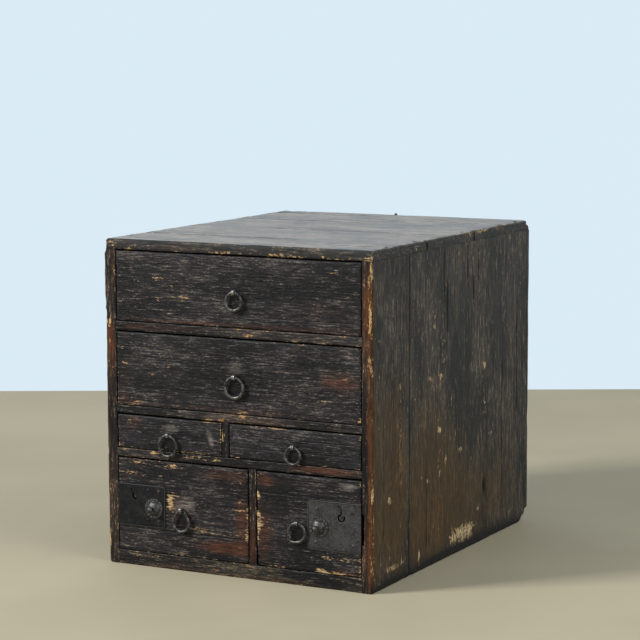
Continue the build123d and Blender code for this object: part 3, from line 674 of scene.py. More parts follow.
stileSpots = {
    "front": {
        "bare": [
            (187.5, 397, 3.2, 12, 0.95),
            (185, 379, 3.4, 8, 0.6),
            (184, 352, 5, 22, 0.4),
            (186, 330, 4, 20, 0.5),
            (184.5, 306, 3.4, 13, 0.45),
            (186, 281, 3.5, 10, 0.7),
            (188.5, 235, 2.0, 40, 0.15),
            (189, 150, 1.8, 60, 0.15),
            (188.5, 118, 2.4, 10, 0.6),
            (189, 60, 1.8, 50, 0.15),
            (179, 18, 5, 4, 0.35),
        ],
        "warm": [
            (184, 345, 8, 55, 0.85),
            (184, 215, 5, 60, 0.5),
            (188, 110, 4, 120, 1.0),
            (181, 60, 6, 60, 0.4),
        ],
        "dark": [(184, 86, 4, 3, 0.8), (186, 146, 3, 2.5, 0.8), (183, 10, 9, 8, 0.35)],
    },
    "side": {
        "bare": [
            (-240, 300, 2.5, 120, 0.2),
            (-239, 120, 3.0, 110, 0.2),
            (-185, 332, 6, 4, 0.85),
            (-201, 332, 3, 3, 0.7),
            (-170, 333, 2.4, 5, 0.75),
            (-166, 314, 2.0, 8, 0.55),
            (-167, 245, 3.2, 6, 0.8),
            (-166, 180, 3.5, 130, 0.33),
            (-190, 120, 5, 70, 0.26),
            (-197, 108, 4, 6, 0.85),
            (-187, 22, 24, 4, 0.85),
            (-160, 22, 5, 7, 0.6),
            (-210, 160, 3, 60, 0.2),
        ],
        "warm": [
            (-236, 110, 9, 120, 1.0),
            (-238, 330, 4, 80, 0.5),
            (-168, 90, 20, 90, 0.7),
            (-205, 80, 45, 90, 0.75),
            (-190, 210, 45, 70, 0.5),
        ],
        "dark": [(-190, 0, 90, 12, 1.4), (-200, 398, 50, 8, 0.3), (-141, 210, 1.6, 600, 1.2)],
        "scuff": [(-200, 12, 18, 5, 0.35), (-190, 320, 50, 90, 0.42)],
    },
}
stile = {
    "outer": front,
    "grain": "z",
    "steps": (2.5, 3.5, 4),
    "chips": 3.2,
    "wearWidth": 3.0,
    "bend": 0.0,
}
wornBoard(
    "rightFrontPlank",
    "right_front_plank",
    "case",
    stileWood,
    dict(
        stile,
        seed=3.0,
        arrises=[
            (right, front, 3.4, 0.3),
            (left, front, 0.8, 0.2),
            (right, under, 3.5, 0.2),
            (right, back, 1.6, 0.1),
        ],
        drift=[(0, 1, 0.7), (1, -1, 0.3)],
        cracks=[(1, -213, 60, 250, 0.5, 0.7), (1, -178, 290, 402, 0.5, 0.6)],
        crackFace=right,
        spots=stileSpots,
    ),
)
wornBoard(
    "leftFrontPlank",
    "left_front_plank",
    "case",
    stileWood,
    dict(
        stile,
        seed=5.0,
        arrises=[
            (left, front, 3.4, 0.22),
            (right, front, 0.8, 0.15),
            (left, under, 3.0, 0.3),
            (left, back, 1.0, 0.1),
        ],
        drift=[(0, -1, 0.8), (1, -1, 0.3)],
        bulges=[(0, -1, 328, 404, 1.9), (0, -1, 102, 322, 0.5)],
        cracks=[(1, -200, 100, 330, 0.5, 0.7)],
        crackFace=left,
        spots={
            "front": {
                "bare": [
                    (-185, 312, 4, 8, 0.95),
                    (-178, 382, 2, 10, 0.5),
                    (-183, 291, 4, 9, 0.55),
                    (-182, 257, 3, 4, 0.8),
                    (-187, 40, 2.2, 36, 0.35),
                    (-177, 60, 1.6, 50, 0.2),
                    (-177, 350, 1.6, 50, 0.25),
                ],
                "warm": [(-183, 290, 7, 30, 0.7), (-182, 230, 6, 60, 0.25), (-182, 120, 7, 90, 0.15)],
            },
            "left": {
                "bare": [(-170, 250, 3, 90, 0.3), (-200, 30, 40, 6, 0.6), (-150, 330, 4, 6, 0.7)],
                "warm": [(-236, 160, 9, 160, 0.8), (-190, 80, 60, 70, 0.4)],
                "dark": [(-190, 7, 60, 7, 0.6)],
            },
        },
    ),
)
rearPlank = {"grain": "z", "steps": (8, 3.2, 4), "wearWidth": 2.5, "spread": 1.6}
wornBoard(
    "rightRearPlank",
    "right_rear_plank",
    "case",
    sideWood,
    dict(
        rearPlank,
        seed=7.0,
        arrises=[(right, front, 1.6, 0.1), (right, under, 3.5, 0.25)],
        drift=[(0, 1, 0.8)],
        cracks=[
            (1, -37, 330, 410, 2.4, 2.6),
            (1, -28, 290, 372, 2.0, 2.0),
            (1, 36, 345, 410, 3.0, 3.4),
            (1, 54, 318, 364, 3.0, 3.2),
            (1, 69, 350, 398, 2.2, 2.4),
            (1, 92, 54, 86, 5.0, 7.0),
            (1, 150, 40, 240, 1.4, 0.9),
            (1, 200, 150, 330, 1.4, 0.9),
            (1, -90, 20, 150, 1.4, 0.9),
        ],
        crackFace=right,
        spots={
            "side": {
                "bare": [
                    (-67.5, 315, 2.4, 7, 0.85),
                    (-38, 285, 6, 3.5, 0.8),
                    (-36, 262, 5, 5, 0.75),
                    (-47, 242, 3, 2.4, 1.1),
                    (-78, 243, 1.8, 2, 0.8),
                    (-107, 247, 5, 2.4, 0.7),
                    (-124, 223, 2, 3, 0.7),
                    (-51, 173, 5, 2.2, 0.8),
                    (-1, 161, 2.2, 5, 0.7),
                    (-51, 135, 3, 26, 0.5),
                    (10, 137, 6, 6, 0.85),
                    (-31, 132, 2.2, 4, 0.8),
                    (-86, 113, 2.8, 3, 0.9),
                    (-105, 119, 2.2, 2.4, 0.8),
                    (92, 237, 2.6, 3, 0.8),
                    (92, 189, 2.2, 5.5, 0.8),
                    (90, 205, 4, 70, 0.22),
                    (112, 144, 12, 3.5, 0.6),
                    (106, 173, 20, 2, 0.4),
                    (212, 336, 8, 2.6, 0.55),
                    (120, 337, 2.6, 2.6, 0.6),
                    (-111, 22, 3.2, 7, 0.95),
                    (-11, 20, 9, 8, 0.75),
                    (12, 27, 12, 8, 0.85),
                    (34, 13, 14, 9, 0.85),
                    (48, 27, 12, 5, 0.7),
                    (72, 48, 3, 4.5, 0.85),
                    (-60, 190, 30, 50, 0.06),
                    (-122, 380, 6, 30, 0.15),
                    (175, 385, 3, 12, 0.4),
                ],
                "warm": [
                    (-60, 130, 60, 70, 0.5),
                    (20, 55, 90, 45, 0.6),
                    (-100, 70, 40, 60, 0.65),
                    (160, 70, 40, 50, 0.3),
                ],
                "dark": [
                    (-60, 0, 80, 7.5, 1.4),
                    (120, 0, 100, 8, 1.4),
                    (93, 70, 3.0, 6, 1.3),
                    (-141, 210, 1.2, 450, 1.2),
                ],
                "scuff": [(110, 330, 40, 45, 0.12), (-95, 330, 35, 60, 0.36), (-20, 6, 20, 4, 0.3)],
            }
        },
    ),
)
wornBoard(
    "leftRearPlank",
    "left_rear_plank",
    "case",
    sideWood,
    dict(
        rearPlank,
        seed=11.0,
        arrises=[(left, front, 1.0, 0.1), (left, under, 3.0, 0.25)],
        drift=[(0, -1, 0.8)],
        cracks=[
            (1, -80, 330, 410, 0.9, 1.6),
            (1, 10, 290, 400, 0.8, 1.4),
            (1, 120, 10, 120, 0.8, 1.4),
            (1, 170, 200, 405, 0.6, 1.0),
        ],
        crackFace=left,
        spots={
            "left": {
                "bare": [
                    (-60, 250, 3, 20, 0.5),
                    (20, 180, 4, 6, 0.8),
                    (90, 300, 3, 5, 0.7),
                    (130, 120, 3, 26, 0.45),
                    (-100, 90, 3, 4, 0.8),
                    (60, 22, 30, 7, 0.8),
                    (180, 260, 3, 6, 0.6),
                    (-20, 340, 3, 4, 0.7),
                ],
                "warm": [(0, 90, 140, 80, 0.45)],
                "dark": [(50, 6, 180, 6, 0.6)],
            }
        },
    ),
)
wornBoard(
    "backPlanks",
    "back_planks",
    "case",
    backWood,
    {
        "grain": "x",
        "steps": (8, 4, 8),
        "seed": 13.0,
        "wearWidth": 2.0,
        "arrises": [
            (right, back, 3.0, 0.25),
            (left, back, 3.0, 0.3),
            (back, under, 3.0, 0.3),
        ],
        "drift": [(1, 1, 0.6), (0, 1, 0.5)],
        "cracks": [(2, 70, -190, 20, 0.8, 1.4), (2, 215, -60, 190, 0.8, 1.4), (2, 350, -190, 60, 0.8, 1.2)],
        "crackFace": back,
    },
)
print("case boards worn")

rail = {
    "grain": "x",
    "steps": (4, 12, 1.6),
    "wearWidth": 1.6,
    "chips": 2.0,
    "arrisCuts": (0.6, 1.5),
    "frontCuts": (0.7, 1.8),
}


def frontRail(name, node, material, seed, spots, wear=0.45):
    wornBoard(
        name,
        node,
        "case",
        material,
        dict(
            rail,
            seed=seed,
            arrises=[(front, over, 1.4, wear), (front, under, 1.8, wear)],
            drift=[(1, -1, 0.35)],
            spots={"front": spots},
        ),
    )


frontRail(
    "upperRail",
    "upper_rail",
    railWood,
    17.0,
    {
        "bare": [
            (20, 307, 9, 2, 0.7),
            (80, 305, 10, 1.6, 0.6),
            (-84, 306, 5, 1.6, 0.6),
            (-168, 311, 4, 3, 0.7),
        ],
        "warm": [(-90, 310, 60, 5, 0.5), (-150, 309, 20, 4, 0.5)],
    },
)
frontRail(
    "middleRail",
    "middle_rail",
    railWood,
    19.0,
    {
        "bare": [
            (-22, 198, 5, 2.4, 0.95),
            (-40, 198, 5, 1.4, 0.7),
            (10, 205, 7, 2, 0.7),
            (-165, 200, 8, 2, 0.4),
        ],
        "warm": [(40, 201, 60, 5, 0.3)],
    },
    0.3,
)
frontRail(
    "lowerRail",
    "lower_rail",
    railWood,
    23.0,
    {
        "bare": [
            (-118, 148, 10, 2.2, 0.95),
            (-100, 145, 9, 2.0, 0.8),
            (-62, 147.5, 24, 2.6, 0.85),
            (-28, 148, 9, 3, 0.9),
            (-45, 144, 12, 1.5, 0.5),
            (60, 149, 30, 1.2, 0.3),
        ],
        "warm": [(125, 147, 52, 5, 0.9), (-10, 142, 50, 3, 0.5)],
    },
)
frontRail(
    "baseBoard",
    "bottom_board",
    baseWood,
    29.0,
    {
        "bare": [
            (-150, 12, 26, 3, 0.5),
            (-120, 16, 16, 2, 0.5),
            (-60, 13, 30, 3, 0.3),
            (-40, 5, 40, 2, 0.3),
            (40, 14, 30, 2, 0.3),
            (120, 3, 50, 2, 0.4),
            (150, 15, 20, 2, 0.5),
        ],
        "warm": [(-100, 3, 60, 3, 0.4), (60, 4, 100, 3, 0.4)],
        "dark": [(0, 0, 180, 1.6, 0.5)],
    },
)


def divider(name, node, seed, spots):
    wornBoard(
        name,
        node,
        "case",
        dividerWood,
        dict(
            rail,
            grain="z",
            steps=(1.6, 20, 4),
            seed=seed,
            arrises=[(front, left, 1.2, 0.4), (front, right, 1.2, 0.4)],
            drift=[(1, -1, 0.3)],
            spots={"front": spots},
        ),
    )


divider("upperDivider", "upper_divider", 31.0, {"bare": [(-19, 180, 2, 12, 0.5)]})
divider(
    "lowerDivider",
    "lower_divider",
    37.0,
    {
        "bare": [(20, 128, 2, 6, 0.6), (19, 60, 1.6, 20, 0.5), (26, 80, 1.6, 30, 0.45)],
        "warm": [(23, 45, 5, 30, 0.8), (23, 100, 5, 25, 0.4)],
    },
)
print("rails and dividers worn")

drawerSpots = {
    "top_drawer": {
        "bare": [
            (-113, 372, 18, 1.8, 0.75),
            (-146, 367, 6, 2.4, 0.7),
            (-168, 376, 5, 4, 0.5),
            (137, 391, 9, 2.6, 0.75),
            (64, 372, 14, 1.6, 0.6),
            (95, 373, 17, 1.6, 0.6),
            (-65, 362, 7, 2, 0.6),
            (-90, 363, 7, 2, 0.55),
            (-111, 344.5, 4, 2.4, 0.85),
            (-75, 351, 14, 1.8, 0.55),
            (110, 351, 2.4, 2.4, 0.8),
            (102, 341, 4, 1.6, 0.65),
            (145, 322, 11, 1.6, 0.7),
            (-155, 326, 14, 3, 0.5),
            (-100, 328, 40, 3, 0.25),
            (-120, 355, 50, 22, 0.16),
            (157, 363, 6, 9, 0.45),
            (0, 318, 150, 1.4, 0.25),
        ],
        "warm": [(120, 345, 50, 25, 0.25), (0, 319, 160, 2.5, 0.5), (-150, 325, 26, 6, 0.35)],
        "scuff": [(0, 372, 9, 6, 0.5), (156, 364, 8, 10, 0.35)],
    },
    "second_drawer": {
        "bare": [
            (-167, 281, 5, 3.5, 0.7),
            (-164, 262, 7, 2.4, 0.95),
            (-168, 247, 4, 5, 0.6),
            (-92, 235, 13, 4, 0.5),
            (-128, 249, 7, 3.5, 0.5),
            (-99, 260, 5, 1.6, 0.6),
            (-60, 262, 60, 6, 0.12),
            (24, 241, 6, 1.2, 0.7),
            (118, 232, 12, 1.4, 0.6),
            (170, 213, 8, 3, 0.85),
            (10, 212, 6, 1.6, 0.8),
            (10.5, 216, 1.2, 3, 0.5),
            (110, 283, 2.4, 1.6, 0.6),
            (150, 262, 22, 6, 0.25),
            (-150, 215, 22, 4, 0.4),
        ],
        "warm": [(145, 258, 30, 14, 0.55), (0, 212, 160, 2.5, 0.4), (-165, 230, 8, 26, 0.4)],
        "scuff": [(2, 268, 15, 12, 0.5), (-60, 255, 70, 20, 0.16), (90, 240, 60, 12, 0.2)],
    },
    "small_left_drawer": {
        "bare": [
            (-160, 190, 11, 4, 0.55),
            (-155, 184, 8, 1.6, 0.55),
            (-22, 176, 1.6, 16, 0.6),
            (-90, 153.5, 60, 1.3, 0.6),
            (-168, 160, 4, 6, 0.4),
        ],
        "warm": [(-150, 185, 20, 8, 0.4)],
        "scuff": [
            (-97, 183, 13, 6, 0.5),
            (-97, 176, 15, 8, 0.3),
            (-41, 182, 4, 5, 0.5),
            (-37, 173, 4, 7, 0.65),
            (-34, 166, 3, 5, 0.5),
        ],
    },
    "small_right_drawer": {
        "bare": [
            (5, 154, 14, 1.4, 0.7),
            (92, 153.4, 20, 1.2, 0.6),
            (172, 192, 4, 3, 0.5),
            (172, 154, 4, 3, 0.6),
        ],
        "scuff": [(82, 184, 12, 4, 0.55), (130, 188, 30, 3, 0.25), (30, 175, 50, 8, 0.12)],
    },
    "lower_left_drawer": {
        "bare": [
            (-140, 135, 22, 3.5, 0.62),
            (-92, 134.5, 9, 2.4, 0.6),
            (-150, 120, 22, 2.4, 0.65),
            (-108, 119.5, 20, 1.8, 0.6),
            (6, 120.5, 9, 3, 0.6),
            (6, 98, 2.4, 3.4, 0.95),
            (15.5, 85, 2.6, 16, 0.5),
            (14, 58, 4, 12, 0.5),
            (5, 87, 11, 2.6, 0.7),
            (-30, 55, 36, 2.6, 0.5),
            (-57, 59, 8, 1.8, 0.6),
            (0, 37, 12, 4, 0.35),
            (-97, 87, 3.6, 9, 1.2),
            (-89, 96, 7, 3.4, 0.8),
            (-95, 133, 30, 2, 0.3),
            (14, 134, 4, 4, 0.5),
            (-60, 20, 70, 1.4, 0.4),
        ],
        "warm": [
            (-14, 36, 36, 7, 1.0),
            (-20, 128, 34, 10, 0.5),
            (-79, 84, 14, 12, 0.55),
            (8, 75, 10, 34, 0.6),
            (-90, 62, 12, 8, 0.25),
        ],
        "scuff": [(-80, 84, 16, 13, 0.66), (-66, 88, 7, 9, 0.35), (-28, 58, 30, 3, 0.5)],
    },
    "lower_right_drawer": {
        "bare": [
            (31, 108, 3, 4, 0.95),
            (34, 83, 5.5, 3.5, 0.75),
            (36, 72, 10, 4.5, 0.72),
            (31, 60, 4, 10, 0.5),
            (47, 54, 8, 2, 0.6),
            (36, 134, 7, 2.6, 0.6),
            (128, 39, 24, 4.5, 0.62),
            (122, 22, 9, 3, 0.8),
            (147, 22, 9, 2, 0.7),
            (48, 22, 16, 3, 0.55),
            (172, 134, 3, 3, 0.5),
            (31, 95, 2.4, 40, 0.4),
            (60, 92, 24, 2, 0.35),
            (100, 19.5, 70, 1.4, 0.4),
            (172, 28, 2.4, 12, 0.5),
        ],
        "warm": [(38, 60, 12, 40, 0.55), (80, 128, 40, 8, 0.3), (150, 22, 26, 5, 0.5), (40, 130, 10, 8, 0.5)],
        "scuff": [(84, 88, 12, 9, 0.5), (158, 131, 14, 4, 0.85)],
    },
}
frontMaterials = {
    "top_drawer": frontWood,
    "second_drawer": frontWood,
    "small_left_drawer": smallWood,
    "small_right_drawer": smallWood,
    "lower_left_drawer": frontWoodLow,
    "lower_right_drawer": frontWoodLow,
}
drawerCracks = {
    "top_drawer": [(2, 330, 20, 172, 0.5, 0.6)],
    "second_drawer": [(2, 224, -60, 60, 0.5, 0.5)],
    "small_right_drawer": [(2, 166, -8, 172, 0.5, 0.6), (2, 181, 20, 172, 0.5, 0.5)],
    "lower_left_drawer": [(2, 49, -170, 16, 0.5, 0.5)],
    "lower_right_drawer": [(2, 112, 30, 172, 0.5, 0.6)],
}
drawerNames = list(drawerSpots)


def camel(words):
    first, *rest = words.split("_")
    return first + "".join(word.capitalize() for word in rest)


for number, drawer in enumerate(drawerNames):
    ringLow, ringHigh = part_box(drawer + "_ring")
    ringX, ringZ = (ringLow.x + ringHigh.x) / 2 / mm, (ringLow.z + ringHigh.z) / 2 / mm
    # painted shadow and dirt: darkens the front behind each ring pull, and again offset to the lower right
    # where the pull's shadow falls
    pullShadowAndDirt = [(ringX + 2, ringZ - 1, 8, 9, 0.75), (ringX + 6, ringZ - 6, 9, 9, 0.45)]  # behind the pull
    wornBoard(
        camel(drawer) + "Front",
        drawer + "_front",
        drawer,
        frontMaterials[drawer],
        {
            "grain": "x",
            "steps": (4, 0, 2.2),
            "frontCuts": (0.7, 1.8),
            "seed": 41.0 + number,
            "chips": 2.6,
            "wearWidth": 1.8,
            "arrisCuts": (0.5, 1.2, 2.4),
            "arrises": [
                (front, over, 2.9, 0.45),
                (front, under, 2.3, 0.5),
                (front, left, 2.3, 0.45),
                (front, right, 2.5, 0.45),
            ],
            "cracks": drawerCracks.get(drawer, ()),
            "crackFace": front,
            "bend": 0.0,
            "spread": 1.2,
            "spots": {"front": dict(drawerSpots[drawer], dark=pullShadowAndDirt)},
        },
    )
print("drawer fronts worn")

# carried-over boards
for node, material in {
    "case_pegs": pegWood,
    "upper_dust_board": insideWoodX,
    "middle_dust_board": insideWoodX,
    "lower_dust_board": insideWoodX,
}.items():
    refinish(node, material)
for drawer in drawerNames:
    refinish(f"{drawer}_walls", insideWoodY)
    refinish(f"{drawer}_bottom", insideWoodX)

# ring pulls
ringMaterial = ironMaterial("ring iron", ringIron)
# the straps' iron is lightened well past the rings' as a painted glint where their eyes catch the light
strapMaterialWithGlint = ironMaterial("strap iron with painted glint", dict(ringIron, light=(0.34, 0.33, 0.31)))
hiddenIron = ironMaterial("lock iron", forged)
# outside width and height, thickness, and the radius of the bend that hangs in the eye, in mm
pulls = {
    "top_drawer": {"width": 25.5, "height": 25.5, "wire": 2.8, "crown": 6.0},
    "second_drawer": {"width": 29.5, "height": 29.5, "wire": 3.2, "crown": 12.0},
    "small_left_drawer": {"width": 29.0, "height": 30.0, "wire": 2.8, "crown": 11.5},
    "small_right_drawer": {"width": 24.0, "height": 24.5, "wire": 2.6, "crown": 9.5},
    "lower_left_drawer": {"width": 26.5, "height": 30.5, "wire": 2.8, "crown": 6.0},
    "lower_right_drawer": {"width": 26.5, "height": 27.5, "wire": 3.2, "crown": 11.65, "open": True},
}
wireSides = 14
footSwell = 1.25
# the dents are (depth in mm, waves per metre)
pullFinish = {"thicker": 0.16, "thickerPerDrop": 0.009, "dents": (0.16, 160.0), "pits": (0.06, 520.0)}
# the ring that was bent open, in degrees; its tail's radius is tailReach times the hoop's
openBend = {"start": -135, "turn": 285, "tailTurn": 66, "tailReach": 1.46, "tailThinning": 0.42}
strapFinish = {"bevel": 0.28, "creaseHalf": 0.2, "creaseDepth": 0.45, "clearOfEye": 1.2}


def wireEnd(shape, radius):
    made = bmesh.ops.create_circle(
        shape, segments=wireSides, radius=radius, matrix=Matrix.Rotation(math.pi / 2, 4, "Y")
    )
    return list({edge for vert in made["verts"] for edge in vert.link_edges})


def bendWire(shape, edges, centre, angle):
    steps = max(3, round(abs(math.degrees(angle)) / 9))
    made = bmesh.ops.spin(
        shape, geom=edges, cent=centre, axis=(0, 1, 0), angle=angle, steps=steps, use_merge=False
    )
    return [part for part in made["geom_last"] if isinstance(part, bmesh.types.BMEdge)]


def runWire(shape, edges, move):
    made = bmesh.ops.extrude_edge_only(shape, edges=edges)["geom"]
    verts = [part for part in made if isinstance(part, bmesh.types.BMVert)]
    bmesh.ops.translate(shape, verts=verts, vec=move)
    return [part for part in made if isinstance(part, bmesh.types.BMEdge) and part.is_boundary]


def hammered(shape, amount, scale, seed):
    shape.normal_update()
    for vert in shape.verts:
        vert.co += vert.normal * amount * mm * wave(vert.co, scale, seed)


def closedRing(pull):
    shape = bmesh.new()
    top = pull["wire"] / 2
    belly = pull["width"] / 2 - footSwell * top
    foot = top + footSwell * top - pull["height"]
    crown = pull["crown"]
    turn = math.asin((belly - crown) / -(foot + belly + crown))
    edges = wireEnd(shape, top * mm)
    edges = bendWire(shape, edges, (0, 0, -crown * mm), math.pi / 2 - turn)
    bellyZ = foot + belly
    start = Vector((crown * math.cos(turn), 0, -crown + crown * math.sin(turn)))
    end = Vector((belly * math.cos(turn), 0, bellyZ + belly * math.sin(turn)))
    edges = runWire(shape, edges, (end - start) * mm)
    bendWire(shape, edges, (0, 0, bellyZ * mm), turn + math.pi / 2)
    bmesh.ops.mirror(
        shape,
        geom=shape.verts[:] + shape.edges[:] + shape.faces[:],
        matrix=Matrix.Identity(4),
        merge_dist=1e-5,
        axis="X",
    )
    bmesh.ops.remove_doubles(shape, verts=shape.verts, dist=1e-5)
    for vert in shape.verts:  # thicker towards the foot
        low = bellyZ * mm - vert.co.z
        if low > 0:
            out = Vector((vert.co.x, 0, vert.co.z - bellyZ * mm)).normalized()
            line = out * belly * mm + Vector((0, 0, bellyZ * mm))
            vert.co = line + (vert.co - line) * (1 + (footSwell - 1) * low / (belly * mm))
    return shape


def openRing(pull):
    shape = bmesh.new()
    hoop = (pull["width"] - pull["wire"]) / 2 * mm
    edges = wireEnd(shape, pull["wire"] / 2 * mm)
    centre = Vector((0, 0, -hoop))
    turnBack = Matrix.Translation(centre) @ Matrix.Rotation(math.radians(openBend["start"]), 4, "Y")
    turnBack = turnBack @ Matrix.Translation(-centre)
    bmesh.ops.transform(shape, matrix=turnBack, verts=shape.verts)
    edges = bendWire(shape, edges, centre, math.radians(openBend["turn"]))
    hoopEnd = 90 - openBend["start"] - openBend["turn"]
    end = centre + Vector((math.cos(math.radians(hoopEnd)), 0, math.sin(math.radians(hoopEnd)))) * hoop
    tailCentre = end + (centre - end) * openBend["tailReach"]
    bendWire(shape, edges, tailCentre, math.radians(openBend["tailTurn"]))
    tail = openBend["tailReach"] * hoop
    thinFrom, thinTo = hoopEnd - 2, hoopEnd - openBend["tailTurn"]
    for vert in shape.verts:  # the tail thins towards its end
        out = Vector((vert.co.x, 0, vert.co.z)) - tailCentre
        angle = math.degrees(math.atan2(out.z, out.x))
        if thinTo - 0.5 < angle < thinFrom and vert.co.z < centre.z - 0.5 * hoop:
            share = (thinFrom - angle) / (thinFrom - thinTo)
            line = tailCentre + out.normalized() * tail
            if (vert.co - line).length < pull["wire"] * 0.55 * mm:
                vert.co = line + (vert.co - line) * (1 - openBend["tailThinning"] * share * share)
    ends = [edge for edge in shape.edges if edge.is_boundary]
    bmesh.ops.holes_fill(shape, edges=ends, sides=0)
    return shape


for number, (drawer, pull) in enumerate(pulls.items()):
    low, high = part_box(drawer + "_ring")
    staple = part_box(drawer + "_staple")
    eye = Vector(((staple[0].x + staple[1].x) / 2, (low.y + high.y) / 2, high.z - pull["wire"] / 2 * mm))
    shape = openRing(pull) if pull.get("open") else closedRing(pull)
    bmesh.ops.recalc_face_normals(shape, faces=shape.faces)
    shape.normal_update()
    for vert in shape.verts:
        vert.co += vert.normal * (
            pullFinish["thicker"] * mm + pullFinish["thickerPerDrop"] * abs(vert.co.z)
        )
    hammered(shape, *pullFinish["dents"], number * 3.0)
    hammered(shape, *pullFinish["pits"], number * 5.0)
    bmesh.ops.translate(shape, verts=shape.verts, vec=eye)
    finishPiece(
        camel(drawer) + "Ring", shape, drawer + "_ring", ringMaterial, [drawer + "_ring"]
    )
    # the strap: rounded edges and a crease where its two prongs meet
    shape = cadCopy(drawer + "_staple")
    middle = (staple[0].x + staple[1].x) / 2
    sharp = [edge for edge in shape.edges if edge.calc_face_angle(0.0) > math.radians(50)]
    softenEdges(shape, sharp, strapFinish["bevel"])
    cutAcross(shape, 0, [middle + offset * mm for offset in (-0.9, -0.3, 0.0, 0.3, 0.9)])
    centre = Vector((middle, eye.y, eye.z))
    for vert in shape.verts:
        aside = abs(vert.co.x - middle)
        out = vert.co - centre
        out.x = 0
        clear = out.length > (pull["wire"] / 2 + strapFinish["clearOfEye"]) * mm
        if aside < strapFinish["creaseHalf"] * mm and clear and vert.co.y < topLow.y - 0.2 * mm:
            vert.co -= out.normalized() * strapFinish["creaseDepth"] * mm
    finishPiece(
        camel(drawer) + "Staple", shape, drawer, strapMaterialWithGlint, [drawer + "_staple"], 50.0
    )
print("rings and staples forged")

# the nail that stands up at the back of the top
topNail = {"x": -12.0, "fromBack": 7.0, "sunk": 0.8, "radius": 2.4, "height": 2.8}
shape = bmesh.new()
spot = Vector((topNail["x"] * mm, topHigh.y - topNail["fromBack"] * mm, topHigh.z - topNail["sunk"] * mm))
size = Matrix.Diagonal((topNail["radius"] * mm, topNail["radius"] * mm, topNail["height"] * mm, 1))
bmesh.ops.create_uvsphere(
    shape, u_segments=14, v_segments=8, radius=1.0, matrix=Matrix.Translation(spot) @ size
)
hammered(shape, 0.3, 400.0, 9.0)
finishPiece("topNail", shape, "case", hiddenIron, [])

# locks
# nails are (inset from the drawer's edge, height over the plate's middle) and holes (x, z, radius), in mm
locks = {
    "lower_left_drawer": {
        "side": -1,
        "iron": dict(plateIron, edge=(0.075, 0.075, 0.080)),
        "holes": [(-161, 59, 1.1), (-148.5, 60.5, 1.0), (-157, 81, 0.9), (-169.5, 95, 1.0)],
        "knobInset": 54.0,
        "nails": [(44.5, 21.0), (61.0, 20.5), (44.5, -17.5), (61.0, -18.0)],
        "nailRadius": 2.1,
        "nubRadius": 3.6,
    },
    "lower_right_drawer": {
        "side": 1,
        "iron": dict(greyIron, edge=(0.06, 0.058, 0.056)),
        "holes": [(163.25, 98, 1.3), (172, 64, 0.8)],
        "knobInset": 57.5,
        "nails": [(60.0, 21.0), (62.0, -21.0), (10.0, -21.0)],
        "nailRadius": 2.5,
        "nubRadius": 3.3,
    },
}
plateFinish = {"bevel": 0.35, "grid": 4, "dents": 0.22, "corner": 5, "groove": 1.5, "rimPast": 30}
# the knob's light tone is raised partly as a painted highlight on its dome
knobFinish = {
    "dark": (0.016, 0.0156, 0.0152),
    "light": (0.11, 0.108, 0.106),
    "metallic": 0.6,
    "roughness": 0.38,
    "gloss": 0.5,
}
# the crank behind the plate; lengths in mm, those along the spindle count outwards from the plate's face
crank = {
    "lean": 25,
    "reach": 7.8,
    "front": -2.0,
    "back": -4.0,
    "hub": 4.2,
    "eye": 3.0,
    "pin": 1.5,
    "pinFront": -3.9,
    "pinBack": -8.3,
    "armWidth": 6.0,
    "armThickness": 1.98,
}
rosette = {"flange": 0.9, "beads": 17, "beadCircle": 11.2, "domeRadius": 9.2, "domeHeight": 6.0}


def gridCuts(low, high, step):
    return [low + n * step * mm for n in range(1, 30) if low + n * step * mm < high]


def lathe(shape, profile, steps=36):  # profile is (radius, out) in mm, turned round the Y axis
    verts = [shape.verts.new((radius * mm, -out * mm, 0)) for radius, out in profile]
    edges = [shape.edges.new(pair) for pair in zip(verts, verts[1:])]
    bmesh.ops.spin(
        shape,
        geom=verts + edges,
        cent=(0, 0, 0),
        axis=(0, 1, 0),
        angle=2 * math.pi,
        steps=steps,
        use_merge=True,
    )
    bmesh.ops.remove_doubles(shape, verts=shape.verts, dist=1e-6)


def dome(shape, centre, radius, height, segments=12):
    squash = Matrix.Translation(centre) @ Matrix.Diagonal((radius, height, radius, 1))
    turn = Matrix.Rotation(math.pi / 2, 4, "X")
    bmesh.ops.create_uvsphere(
        shape, u_segments=segments, v_segments=8, radius=1.0, matrix=squash @ turn
    )


